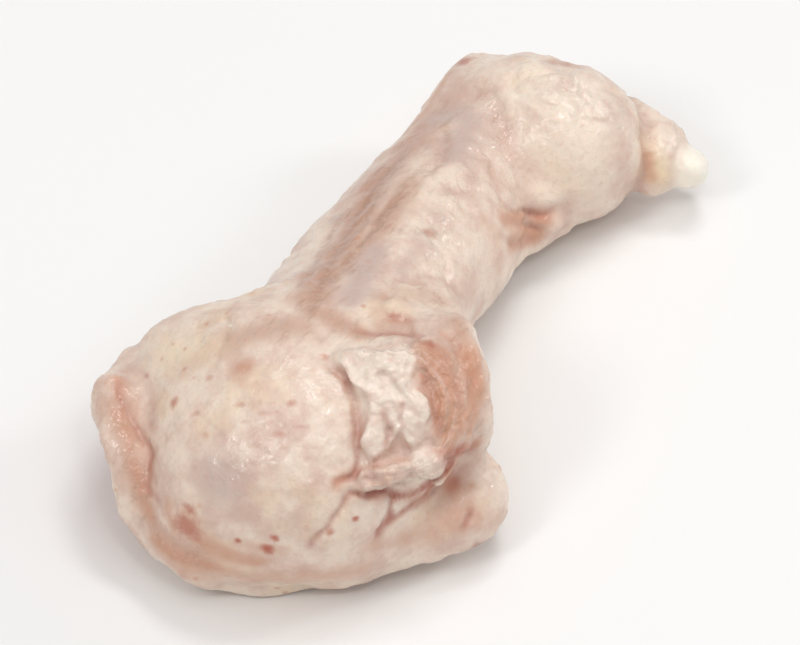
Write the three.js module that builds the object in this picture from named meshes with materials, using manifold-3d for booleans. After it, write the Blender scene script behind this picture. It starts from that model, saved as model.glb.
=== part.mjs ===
// A raw chicken wing drumette: the upper joint of the wing with its skin on, lying on its side.
// Millimetres, +X along the bone from the thick shoulder end to the elbow, +Z up.
// It is one solid. A smooth body is wrapped round the bone line, the folds of loose skin are
// added to it as round rolls and lobes, and the underside is pressed flat where it rests.

import * as THREE from "three";
import { mergeVertices } from "three/addons/utils/BufferGeometryUtils.js";
import Module from "manifold-3d";

const wasm = await Module();
wasm.setup();

// The side that shows is described as it is seen: millimetres to the right and up in a view
// from this azimuth and elevation, and the height above the floor.
const VIEW_AZIMUTH = -57;
const VIEW_ELEVATION = 50;
const VIEW_MIDDLE = new THREE.Vector3(5.4, 9.7, 0);

const azimuth = THREE.MathUtils.degToRad(VIEW_AZIMUTH);
const elevation = THREE.MathUtils.degToRad(VIEW_ELEVATION);
const RIGHT = new THREE.Vector3(Math.cos(azimuth), Math.sin(azimuth), 0);
const AWAY = new THREE.Vector3(-Math.sin(azimuth), Math.cos(azimuth), 0);
const TOWARDS = AWAY.clone().multiplyScalar(-Math.cos(elevation));
TOWARDS.z = Math.sin(elevation);
const UP = new THREE.Vector3().crossVectors(TOWARDS, RIGHT);

// The point seen at (right, up) that lies a height above the floor.
function seen(right, up, height) {
  const depth = (up - height * Math.cos(elevation)) / Math.sin(elevation);
  return VIEW_MIDDLE.clone()
    .addScaledVector(RIGHT, right)
    .addScaledVector(AWAY, depth)
    .setZ(height);
}

// Three axes for a form that faces the viewer, rolled in the picture plane.
function facingAxes(rolled = 0) {
  const roll = THREE.MathUtils.degToRad(rolled);
  const across = RIGHT.clone().multiplyScalar(Math.cos(roll)).addScaledVector(UP, Math.sin(roll));
  const upward = new THREE.Vector3().crossVectors(TOWARDS, across);
  return [across, upward, TOWARDS.clone()];
}

// Three axes for a form that stands on the floor, turned about the vertical.
function floorAxes(turned = 0) {
  const turn = THREE.MathUtils.degToRad(turned);
  return [
    new THREE.Vector3(Math.cos(turn), Math.sin(turn), 0),
    new THREE.Vector3(-Math.sin(turn), Math.cos(turn), 0),
    new THREE.Vector3(0, 0, 1),
  ];
}

// Distance to an ellipsoid, near enough for finding its surface.
function ellipsoid(centre, radii, axes) {
  const offset = new THREE.Vector3();
  return (place) => {
    offset.subVectors(place, centre);
    let level = 0;
    let slope = 0;
    axes.forEach((axis, i) => {
      const share = offset.dot(axis) / radii[i];
      level += share * share;
      slope += (share / radii[i]) ** 2;
    });
    level = Math.sqrt(level);
    return (level * (level - 1)) / Math.max(Math.sqrt(slope), 1e-9);
  };
}

// Distance to a limb: a round form along a smooth line of [right, up, height, radius] rows.
const LIMB_STEPS = 24;

function limb(rows) {
  const line = new THREE.CatmullRomCurve3(rows.map((row) => seen(row[0], row[1], row[2])));
  const radius = (share) => between(rows.map((row) => row[3]), share);
  const places = [];
  for (let i = 0; i <= LIMB_STEPS; i++) {
    const share = i / LIMB_STEPS;
    places.push({ at: line.getPoint(share), radius: radius(share) });
  }
  const segment = new THREE.Line3();
  const nearest = new THREE.Vector3();
  return (place) => {
    let least = Infinity;
    for (let i = 0; i < LIMB_STEPS; i++) {
      segment.set(places[i].at, places[i + 1].at);
      const share = segment.closestPointToPointParameter(place, true);
      segment.at(share, nearest);
      const thick = THREE.MathUtils.lerp(places[i].radius, places[i + 1].radius, share);
      least = Math.min(least, place.distanceTo(nearest) - thick);
    }
    return least;
  };
}

// A value between evenly spaced ones, at a share of the way along them.
function between(values, share) {
  const along = share * (values.length - 1);
  const first = Math.min(Math.floor(along), values.length - 2);
  return THREE.MathUtils.lerp(values[first], values[first + 1], along - first);
}

// Two forms joined with a soft fillet about as wide as blend.
function softJoin(a, b, blend) {
  const share = THREE.MathUtils.clamp(0.5 + (0.5 * (b - a)) / blend, 0, 1);
  return THREE.MathUtils.lerp(b, a, share) - blend * share * (1 - share);
}

// The flesh under the skin, as forms and the softness with which each joins those before it.
const FLESH = [
  // Thick shoulder end, its fuller lower corner, the cheek beside it and the heel below
  { form: ellipsoid(seen(-11.0, -15.0, 14.5), [17.6, 20.4, 16.0], floorAxes(-25)), blend: 1 },
  { form: ellipsoid(seen(-18.0, -23.0, 10.5), [11.0, 10.5, 11.8], floorAxes()), blend: 7 },
  { form: ellipsoid(seen(-24.5, -6.5, 16.0), [6.0, 6.0, 6.0], floorAxes()), blend: 6 },
  { form: ellipsoid(seen(1.5, -12.5, 13.5), [14.0, 13.0, 14.8], floorAxes()), blend: 6 },
  { form: ellipsoid(seen(-5.0, -25.0, 9.5), [10.0, 9.0, 9.0], facingAxes()), blend: 5 },
  // Neck round the bone, and the small muscle on its near side
  {
    form: limb([
      [-4.0, -5.0, 16.0, 11.5],
      [1.5, 1.5, 14.5, 11.0],
      [6.6, 9.8, 13.0, 10.4],
      [10.6, 16.4, 11.8, 9.2],
      [14.5, 21.0, 11.0, 8.6],
      [19.0, 24.5, 11.2, 8.8],
    ]),
    blend: 5,
  },
  { form: ellipsoid(seen(11.5, 7.2, 10.5), [9.5, 6.0, 7.5], floorAxes()), blend: 4 },
  // Elbow knob: the large lower lobe and the flatter upper one
  { form: ellipsoid(seen(24.6, 22.4, 10.6), [10.6, 9.4, 11.6], floorAxes()), blend: 3 },
  { form: ellipsoid(seen(20.0, 26.6, 12.5), [10.5, 7.0, 8.0], facingAxes(-10)), blend: 3.5 },
  // Tendon that runs along the far side of the neck, up to a point at the knob
  {
    form: limb([
      [-9.0, -1.0, 13.0, 7.0],
      [-5.0, 6.0, 13.0, 6.0],
      [-1.0, 12.0, 12.5, 4.8],
      [4.0, 18.4, 12.2, 3.6],
      [8.6, 24.2, 12.5, 3.0],
      [13.2, 32.0, 13.5, 2.4],
    ]),
    blend: 4,
  },
  // Web of skin between the thick end and the roll along its lower edge
  {
    form: limb([
      [-31.0, -9.5, 16.5, 2.2],
      [-31.0, -13.0, 15.5, 2.8],
      [-29.6, -18.5, 13.0, 3.2],
      [-27.0, -24.0, 10.5, 3.6],
      [-21.5, -28.5, 8.0, 4.0],
    ]),
    blend: 3,
  },
  // Ear: a thick flap of skin folded out low on the near side
  { form: ellipsoid(seen(4.5, -28.0, 6.2), [9.5, 4.4, 5.4], facingAxes(10)), blend: 2 },
  { form: ellipsoid(seen(11.4, -23.4, 8.0), [6.4, 6.4, 5.2], facingAxes(-8)), blend: 2.5 },
  // Mound that the fat curls out of
  { form: ellipsoid(seen(2.8, -13.6, 24.5), [7.4, 9.8, 4.6], facingAxes(6)), blend: 1.5 },
];

function flesh(place) {
  let distance = 60;
  for (const { form, blend } of FLESH) {
    distance = softJoin(distance, form(place), blend);
  }
  return distance;
}

const NORMAL_STEP = 0.2;

function fleshNormal(place) {
  const slopes = ["x", "y", "z"].map((axis) => {
    const ahead = place.clone();
    const behind = place.clone();
    ahead[axis] += NORMAL_STEP;
    behind[axis] -= NORMAL_STEP;
    return flesh(ahead) - flesh(behind);
  });
  return new THREE.Vector3(...slopes).normalize();
}

// Walks from outside along a direction until the flesh is met.
const CLOSE_ENOUGH = 0.02;

function meetFlesh(start, direction) {
  const place = start.clone();
  for (let step = 0; step < 90; step++) {
    const gap = flesh(place);
    if (gap < CLOSE_ENOUGH) break;
    place.addScaledVector(direction, Math.max(0.8 * gap, CLOSE_ENOUGH));
  }
  return place;
}

// The point of the skin seen at (right, up), lifted off it or sunk into it.
const OUTSIDE = 60;

function onSkin(right, up, lift = 0) {
  const start = VIEW_MIDDLE.clone()
    .addScaledVector(RIGHT, right)
    .addScaledVector(UP, up)
    .addScaledVector(TOWARDS, OUTSIDE);
  const place = meetFlesh(start, TOWARDS.clone().negate());
  return place.addScaledVector(fleshNormal(place), lift);
}

// The body: a sphere wrapped on to the flesh from a line through its middle.
const BONE_LINE = [
  [-28.6, 1.9, 14],
  [-12.6, 2.9, 14],
  [7.4, 3.4, 13],
  [27.4, 2.4, 11.5],
  [34.4, 0.4, 11],
];
const BODY_SIDES = 64;
const BODY_RINGS = 54;
const END_CAP = 0.24;

function wrappedBody() {
  const line = new THREE.CatmullRomCurve3(BONE_LINE.map((row) => new THREE.Vector3(...row)));
  const sphere = new THREE.SphereGeometry(1, BODY_SIDES, BODY_RINGS);
  const places = sphere.attributes.position;
  const direction = new THREE.Vector3();
  for (let i = 0; i < places.count; i++) {
    const share = Math.acos(THREE.MathUtils.clamp(places.getY(i), -1, 1)) / Math.PI;
    const along = THREE.MathUtils.clamp((share - END_CAP) / (1 - 2 * END_CAP), 0, 1);
    let lean = Math.PI / 2;
    if (share < END_CAP) lean = (share / END_CAP) * (Math.PI / 2);
    if (share > 1 - END_CAP) lean = Math.PI - ((1 - share) / END_CAP) * (Math.PI / 2);
    const round = Math.atan2(places.getZ(i), places.getX(i));
    direction.set(
      -Math.cos(lean),
      Math.sin(lean) * Math.cos(round),
      Math.sin(lean) * Math.sin(round),
    );
    const middle = line.getPointAt(along);
    const start = middle.clone().addScaledVector(direction, OUTSIDE);
    const found = meetFlesh(start, direction.negate());
    places.setXYZ(i, found.x, found.y, found.z);
  }
  return sphere;
}

// A roll of skin: a sphere drawn out along a smooth line of { at, radius } places.
const ROLL_SIDES = 10;
const ROLL_RINGS_PER_PLACE = 3;
const ROLL_END = 0.12;

function roll(places, sides = ROLL_SIDES) {
  const rings = (places.length - 1) * ROLL_RINGS_PER_PLACE;
  const line = new THREE.CatmullRomCurve3(places.map((place) => place.at));
  const frames = line.computeFrenetFrames(rings, false);
  const sphere = new THREE.SphereGeometry(1, sides, rings);
  const corners = sphere.attributes.position;
  const corner = new THREE.Vector3();
  for (let ring = 0; ring <= rings; ring++) {
    const share = ring / rings;
    const end = Math.min(share, 1 - share);
    const rounding = end < ROLL_END ? Math.sqrt(1 - (1 - end / ROLL_END) ** 2) : 1;
    const radius = between(places.map((place) => place.radius), share) * rounding;
    const middle = line.getPointAt(share);
    for (let side = 0; side <= sides; side++) {
      const round = (side / sides) * 2 * Math.PI;
      corner.copy(middle)
        .addScaledVector(frames.normals[ring], -radius * Math.cos(round))
        .addScaledVector(frames.binormals[ring], radius * Math.sin(round));
      corners.setXYZ(ring * (sides + 1) + side, corner.x, corner.y, corner.z);
    }
  }
  return sphere;
}

// A roll through [right, up, height, radius] rows.
function rollAt(rows, sides) {
  return roll(rows.map((row) => ({ at: seen(row[0], row[1], row[2]), radius: row[3] })), sides);
}

// A roll that lies on the skin through [right, up, lift, radius] rows.
function rollOnSkin(rows, sides) {
  return roll(rows.map((row) => ({ at: onSkin(row[0], row[1], row[2]), radius: row[3] })), sides);
}

// A rounded lump with its own three axes.
const LOBE_SIDES = 14;
const LOBE_RINGS = 9;

function lobe(centre, radii, axes) {
  const sphere = new THREE.SphereGeometry(1, LOBE_SIDES, LOBE_RINGS);
  const placed = new THREE.Matrix4().makeBasis(...axes.map((axis, i) => (
    axis.clone().multiplyScalar(radii[i])
  )));
  placed.setPosition(centre);
  return sphere.applyMatrix4(placed);
}

// The rosette: white fat that curls out of the skin.
const rosette = [
  rollOnSkin([
    [-4.6, -6.4, -0.2, 1.0],
    [-2.0, -5.0, 0.1, 1.7],
    [1.5, -4.6, 0.2, 1.9],
    [4.6, -5.8, -0.1, 1.2],
  ], 8),
  rollOnSkin([
    [-1.0, -6.4, 0.0, 1.2],
    [1.8, -8.0, 0.2, 1.5],
    [4.0, -9.8, 0.4, 1.5],
    [5.2, -12.4, 0.4, 1.5],
    [5.7, -15.0, 0.2, 1.2],
    [5.5, -17.0, 0.0, 0.8],
  ], 8),
  rollOnSkin([
    [-1.2, -8.6, 0.0, 1.0],
    [-1.3, -12.0, 0.2, 1.4],
    [-0.8, -15.5, 0.3, 1.6],
    [-0.1, -18.0, 0.0, 1.0],
  ], 8),
  lobe(onSkin(6.4, -18.8, 0), [2.5, 2.8, 1.9], facingAxes()),
  lobe(onSkin(1.5, -20.4, 0), [4.4, 2.1, 1.7], facingAxes(8)),
];

// The lip: the free edge of the skin down the near side.
const lip = rollOnSkin([
  [10.4, 0.5, 0.3, 0.9],
  [12.0, -4.0, 0.4, 1.3],
  [12.8, -9.0, 0.5, 1.5],
  [13.0, -14.0, 0.4, 1.5],
  [12.6, -17.0, 0.2, 1.1],
], 8);

// The cut elbow: a pad of gristle, the end of the second bone and the skin left round them.
const elbow = [
  lobe(seen(35.8, 20.8, 8.2), [5.0, 5.4, 5.2], facingAxes()),
  lobe(seen(40.4, 19.0, 7.6), [2.8, 3.4, 4.4], facingAxes()),
  rollAt([
    [33.0, 28.0, 10.8, 1.2],
    [36.2, 26.6, 10.2, 2.0],
    [38.6, 24.0, 9.6, 2.2],
    [40.4, 21.2, 9.0, 2.0],
  ], 8),
];

// The cut shoulder, low on the far side: the skin edge rolled round bare meat and the bone's head.
const SHOULDER_FROM = new THREE.Vector3(-30.1, 9.8, 14.5);
const SHOULDER_FACES = new THREE.Vector3(-0.45, 0.75, -0.45).normalize();
const SHOULDER_HALF_WIDTH = 12;
const SHOULDER_HALF_HEIGHT = 8;
const SHOULDER_DEPTH = 3;
const SHOULDER_EDGE = 2.1;

const shoulderMiddle = meetFlesh(
  SHOULDER_FROM.clone().addScaledVector(SHOULDER_FACES, OUTSIDE),
  SHOULDER_FACES.clone().negate(),
);
const shoulderAcross = new THREE.Vector3(0, 0, 1).cross(SHOULDER_FACES).normalize();
const shoulderUp = new THREE.Vector3().crossVectors(SHOULDER_FACES, shoulderAcross);
const shoulderAxes = [shoulderAcross, shoulderUp, SHOULDER_FACES];

function onShoulder(across, up, lift = 0) {
  const start = shoulderMiddle.clone()
    .addScaledVector(shoulderAcross, across)
    .addScaledVector(shoulderUp, up)
    .addScaledVector(SHOULDER_FACES, OUTSIDE);
  return meetFlesh(start, SHOULDER_FACES.clone().negate()).addScaledVector(SHOULDER_FACES, lift);
}

const shoulderHollow = lobe(
  shoulderMiddle.clone().addScaledVector(SHOULDER_FACES, 1),
  [SHOULDER_HALF_WIDTH, SHOULDER_HALF_HEIGHT, SHOULDER_DEPTH + 1],
  shoulderAxes,
);

// Loose skin is rolled over along the lower edge of the thick end, from under the heel up the
// far side, and on round the cut: rows of [right, up, height, radius], then the round edge.
const RIM_ROWS = [
  [2.0, -29.4, 4.4, 3.0],
  [-3.0, -31.0, 4.0, 3.6],
  [-10.0, -31.9, 4.2, 3.6],
  [-18.0, -31.4, 5.2, 3.5],
  [-24.6, -29.9, 7.0, 3.3],
  [-28.4, -27.0, 9.0, 3.2],
  [-30.6, -22.5, 12.0, 3.0],
  [-32.4, -17.0, 15.0, 2.9],
  [-33.8, -11.5, 17.0, 2.6],
];
const CUT_EDGE_FROM = 105;
const CUT_EDGE_TO = 305;
const CUT_EDGE_STEPS = 7;

function rimRoll() {
  const places = RIM_ROWS.map((row) => ({ at: seen(row[0], row[1], row[2]), radius: row[3] }));
  for (let i = 0; i <= CUT_EDGE_STEPS; i++) {
    const round = THREE.MathUtils.degToRad(
      THREE.MathUtils.lerp(CUT_EDGE_FROM, CUT_EDGE_TO, i / CUT_EDGE_STEPS),
    );
    const across = SHOULDER_HALF_WIDTH * Math.cos(round);
    const up = SHOULDER_HALF_HEIGHT * Math.sin(round);
    places.push({ at: onShoulder(across, up), radius: SHOULDER_EDGE });
  }
  return roll(places, 12);
}

const shoulder = [
  lobe(onShoulder(-4.5, 1.2, -3.2), [5.2, 4.4, 2.6], shoulderAxes),
  lobe(onShoulder(1.2, 3.0, -3.4), [5.4, 3.4, 2.6], shoulderAxes),
  lobe(onShoulder(5.4, -1.6, -2.8), [3.9, 3.7, 3.3], shoulderAxes),
  lobe(onShoulder(-0.8, -3.4, -3.0), [5.6, 3.0, 2.4], shoulderAxes),
];

// The floor presses the underside flat.
const FLOOR_CLEARANCE = 150;

function aboveFloor() {
  const box = new THREE.BoxGeometry(FLOOR_CLEARANCE, FLOOR_CLEARANCE, FLOOR_CLEARANCE);
  return box.translate(0, 0, FLOOR_CLEARANCE / 2);
}

// A closed geometry as a solid that can be joined and cut.
function solid(geometry) {
  const bare = geometry.clone();
  bare.deleteAttribute("normal");
  bare.deleteAttribute("uv");
  const merged = mergeVertices(bare, 1e-4);
  const mesh = new wasm.Mesh({
    numProp: 3,
    vertProperties: new Float32Array(merged.attributes.position.array),
    triVerts: new Uint32Array(merged.index.array),
  });
  return new wasm.Manifold(mesh);
}

let drumette = solid(wrappedBody()).subtract(solid(shoulderHollow));
for (const form of [rimRoll(), ...rosette, lip, ...elbow, ...shoulder]) {
  drumette = drumette.add(solid(form));
}
drumette = drumette.intersect(solid(aboveFloor()));

// Specks of air shut in between the folds are filled.
const shells = drumette.decompose().sort((a, b) => b.volume() - a.volume());
const found = shells[0].getMesh();
const geometry = new THREE.BufferGeometry();
geometry.setAttribute("position", new THREE.BufferAttribute(found.vertProperties, 3));
geometry.setIndex(new THREE.BufferAttribute(found.triVerts, 1));
geometry.computeVertexNormals();

// Pale raw skin, damp.
const skin = new THREE.MeshStandardMaterial({
  name: "raw_skin",
  color: 0xdcc1ae,
  roughness: 0.45,
  metalness: 0,
});

const wing = new THREE.Group();
const drumetteMesh = new THREE.Mesh(geometry, skin);
drumetteMesh.name = "drumette";
wing.add(drumetteMesh);

export default wing;
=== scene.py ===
# %% [markdown]
# # A raw chicken drumette
# A drumette is the first joint of a chicken wing: a fat shoulder end, a neck round the bone and
# an elbow knob, all wrapped in loose damp skin. Here it lies on its side on a pale table.
# The part comes as a plain faceted solid, the frame. This lesson sculpts the skin over the same
# measurements, far finer, and then gives it pores, wrinkles, colour and a wet shine.

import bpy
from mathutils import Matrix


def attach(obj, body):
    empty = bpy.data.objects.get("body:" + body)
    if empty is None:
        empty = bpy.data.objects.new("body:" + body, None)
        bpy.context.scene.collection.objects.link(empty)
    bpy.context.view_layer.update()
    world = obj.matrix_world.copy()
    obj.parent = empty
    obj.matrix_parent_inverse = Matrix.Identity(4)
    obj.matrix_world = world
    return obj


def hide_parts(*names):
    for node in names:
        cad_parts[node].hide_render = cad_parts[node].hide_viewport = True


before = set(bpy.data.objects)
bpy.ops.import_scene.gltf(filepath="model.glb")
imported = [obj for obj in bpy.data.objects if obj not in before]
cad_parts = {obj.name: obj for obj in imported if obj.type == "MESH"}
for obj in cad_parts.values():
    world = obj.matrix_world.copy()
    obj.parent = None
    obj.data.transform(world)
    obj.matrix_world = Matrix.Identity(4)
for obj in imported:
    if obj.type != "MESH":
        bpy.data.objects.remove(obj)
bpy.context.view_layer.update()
print("Nodes in the frame:", sorted(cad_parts))

# %% [markdown]
# ## Whose right, whose up
# The side of the drumette that shows is described as it is seen: millimetres to the right and up
# in one view, and the height above the table. Three unit vectors turn such a place into X, Y
# and Z. Millimetres are kept while sculpting, because folds of skin are a few of them wide, and
# everything becomes metres when the mesh is made.

# %% The view's directions
import math

import bpy
import numpy as np
from mathutils import Vector

MM = 0.001
VIEW_AZIMUTH = math.radians(-57)
VIEW_ELEVATION = math.radians(50)
VIEW_MIDDLE = np.array([5.4, 9.7, 0.0])

RIGHT = np.array([math.cos(VIEW_AZIMUTH), math.sin(VIEW_AZIMUTH), 0.0])
AWAY = np.array([-math.sin(VIEW_AZIMUTH), math.cos(VIEW_AZIMUTH), 0.0])
STRAIGHT_UP = np.array([0.0, 0.0, 1.0])
TOWARDS = STRAIGHT_UP * math.sin(VIEW_ELEVATION) - AWAY * math.cos(VIEW_ELEVATION)
UP = np.cross(TOWARDS, RIGHT)


def seen(right, up, height):
    """The place seen at (right, up) that lies a height above the table."""
    depth = (up - height * math.cos(VIEW_ELEVATION)) / math.sin(VIEW_ELEVATION)
    return VIEW_MIDDLE + RIGHT * right + AWAY * depth + STRAIGHT_UP * height


def unit(vector):
    """A vector of length one, in the same direction."""
    return vector / np.linalg.norm(vector)


def facing_axes(rolled=0.0):
    """Across, up and towards the viewer, rolled in the picture plane by some degrees."""
    roll = math.radians(rolled)
    across = RIGHT * math.cos(roll) + UP * math.sin(roll)
    return np.array([across, np.cross(TOWARDS, across), TOWARDS])


def floor_axes(turned=0.0):
    """Three axes that stand on the table, turned about the vertical by some degrees."""
    turn = math.radians(turned)
    along = np.array([math.cos(turn), math.sin(turn), 0.0])
    return np.array([along, np.cross(STRAIGHT_UP, along), STRAIGHT_UP])


print("The viewer looks along", np.round(-TOWARDS, 2))

# %% [markdown]
# ## Camera
# A long lens from over two metres away keeps the near and the far end at nearly the same scale, as
# a product photograph does. The lens follows from how wide a strip of table is to be seen. The
# camera looks at a place inside the drumette, given as seen.

# %% Camera
CAMERA_DISTANCE = 2500
SEEN_WIDTH = 104
SENSOR_WIDTH = 36
LOOK_RIGHT = 3.4
LOOK_UP = -0.9
LOOK_TOWARDS = 14

look_at = VIEW_MIDDLE + RIGHT * LOOK_RIGHT + UP * LOOK_UP + TOWARDS * LOOK_TOWARDS
camera_data = bpy.data.cameras.new("camera")
camera_data.sensor_width = SENSOR_WIDTH
camera_data.lens = SENSOR_WIDTH * CAMERA_DISTANCE / SEEN_WIDTH
camera_data.clip_start = 0.05
camera_data.clip_end = 20
camera = bpy.data.objects.new("camera", camera_data)
camera.location = Vector((look_at + TOWARDS * CAMERA_DISTANCE) * MM)
camera.rotation_euler = Vector(TOWARDS).to_track_quat("Z", "Y").to_euler()
bpy.context.scene.collection.objects.link(camera)
bpy.context.scene.camera = camera
print("Lens:", round(camera_data.lens), "mm")

# %% [markdown]
# ## Light
# Raw poultry looks its best in broad soft light: a large lamp overhead models the folds, four
# small bright ones, like far windows, draw glints on the wet skin, and an even white sky keeps the
# shaded sides readable. Each window stands where the skin that is to glint mirrors it to the
# viewer. The Standard view transform is chosen because it shows the skin's colours as they are set,
# where a film-like one would grey them.

# %% Light
SKY_STRENGTH = 0.43


def soft_lamp(name, offset, size, power):
    """A lamp (width, height) at (right, up, towards) metres from the drumette, facing it."""
    data = bpy.data.lights.new(name, "AREA")
    data.shape = "RECTANGLE"
    data.size, data.size_y = size
    data.energy = power
    lamp = bpy.data.objects.new(name, data)
    place = look_at * MM + RIGHT * offset[0] + UP * offset[1] + TOWARDS * offset[2]
    lamp.location = Vector(place)
    lamp.rotation_euler = Vector(place - look_at * MM).to_track_quat("Z", "Y").to_euler()
    bpy.context.scene.collection.objects.link(lamp)
    return lamp


lamps = [
    soft_lamp("key_lamp", (0.0, 0.45, 0.8), (0.7, 0.7), 2.1),
    soft_lamp("window_above", (0.15, 0.75, 0.55), (0.3, 0.16), 1.8),
    soft_lamp("window_right", (0.8, 0.5, 0.25), (0.14, 0.26), 1.5),
    soft_lamp("window_left", (-0.45, 0.15, 0.85), (0.18, 0.24), 1.4),
    soft_lamp("window_front", (0.1, 0.2, 0.95), (0.1, 0.1), 0.5),
]

sky = bpy.data.worlds.new("sky")
sky.use_nodes = True
sky.node_tree.nodes["Background"].inputs["Color"].default_value = (1, 1, 1, 1)
sky.node_tree.nodes["Background"].inputs["Strength"].default_value = SKY_STRENGTH
bpy.context.scene.world = sky
bpy.context.scene.view_settings.view_transform = "Standard"
print("Lamps:", [lamp.name for lamp in lamps])

# %% [markdown]
# ## Nodes in one line
# Materials and geometry trees are both graphs of nodes. One small helper adds a node, sets its
# properties and fills its sockets: a value is set, and another node's output is linked. The other
# helpers are the few sums that this lesson needs again and again.

# %% Helpers for nodes
def add_node(tree, kind, sockets=None, **settings):
    """A node of a kind in a tree; sockets maps names or numbers to values or outputs."""
    made = tree.nodes.new(kind)
    for name, value in settings.items():
        setattr(made, name, value)
    for name, value in (sockets or {}).items():
        if isinstance(value, bpy.types.NodeSocket):
            tree.links.new(value, made.inputs[name])
        else:
            made.inputs[name].default_value = value
    return made


def calculate(tree, operation, *values):
    """The output of a Math node."""
    made = add_node(tree, "ShaderNodeMath", dict(enumerate(values)), operation=operation)
    return made.outputs[0]


def times(tree, first, *others):
    """The product of one or more values."""
    for other in others:
        first = calculate(tree, "MULTIPLY", first, other)
    return first


def plus(tree, first, *others):
    """The sum of one or more values."""
    for other in others:
        first = calculate(tree, "ADD", first, other)
    return first


def ranged(tree, value, low, high, to_low=0.0, to_high=1.0):
    """A value stretched from one range to another, with a soft start and end."""
    made = add_node(tree, "ShaderNodeMapRange", {
        "Value": value, "From Min": low, "From Max": high, "To Min": to_low, "To Max": to_high,
    }, interpolation_type="SMOOTHSTEP")
    return made.outputs[0]


def blend_colours(tree, under, over, share):
    """A colour over another. A Mix node's colour sockets are its inputs 6 and 7 and output 2."""
    made = add_node(tree, "ShaderNodeMix", {0: share, 6: under, 7: over}, data_type="RGBA")
    return made.outputs[2]


def linear(red, green, blue):
    """A colour as a screen shows it, 0 to 255 by the sRGB curve, as the light that nodes work in."""
    shares = [value / 255 for value in (red, green, blue)]
    return tuple(
        share / 12.92 if share <= 0.04045 else ((share + 0.055) / 1.055) ** 2.4
        for share in shares
    ) + (1.0,)


print("Middle grey is", round(linear(128, 128, 128)[0], 3), "of full light")

# %% [markdown]
# ## Table
# The table is one large plain sheet. It is stage, not part of the food. A faint unevenness in its
# gloss keeps it from looking like a void.

# %% Table
FLOOR_SIZE = 3.0
FLOOR_COLOUR = linear(244, 243, 242)

floor_data = bpy.data.meshes.new("floor")
half = FLOOR_SIZE / 2
corners = [(-half, -half, 0), (half, -half, 0), (half, half, 0), (-half, half, 0)]
floor_data.from_pydata(corners, [], [(0, 1, 2, 3)])
floor = bpy.data.objects.new("floor", floor_data)
bpy.context.scene.collection.objects.link(floor)

floor_look = bpy.data.materials.new("pale_table")
floor_look.use_nodes = True
floor_tree = floor_look.node_tree
floor_shader = floor_tree.nodes["Principled BSDF"]
floor_shader.inputs["Base Color"].default_value = FLOOR_COLOUR
floor_place = add_node(floor_tree, "ShaderNodeTexCoord").outputs["Object"]
floor_cloud = add_node(floor_tree, "ShaderNodeTexNoise", {"Vector": floor_place, "Scale": 30.0})
floor_gloss = add_node(floor_tree, "ShaderNodeMapRange", {
    "Value": floor_cloud.outputs[0], "To Min": 0.55, "To Max": 0.7,
})
floor_tree.links.new(floor_gloss.outputs[0], floor_shader.inputs["Roughness"])
floor_data.materials.append(floor_look)
print("Table:", FLOOR_SIZE, "m wide")

# %% [markdown]
# ## Clay
# Folded skin is hard to model face by face, and easy as clay. The clay is a block of numbers:
# at each point of a fine grid, how far the surface is, below zero inside. Two forms are joined by
# taking the smaller number, and a soft minimum leaves a fillet between them, just as flesh does.
# Small shapes are worked in a shell of a few millimetres round the surface.

# %% The clay block
FAR = 60.0
SHELL = 4.0
JOIN_MARGIN = 2


def soft_min(a, b, blend):
    """The smaller of two distances, with a fillet about as wide as blend."""
    share = np.clip(0.5 + 0.5 * (b - a) / blend, 0, 1)
    return b * (1 - share) + a * share - blend * share * (1 - share)


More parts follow.
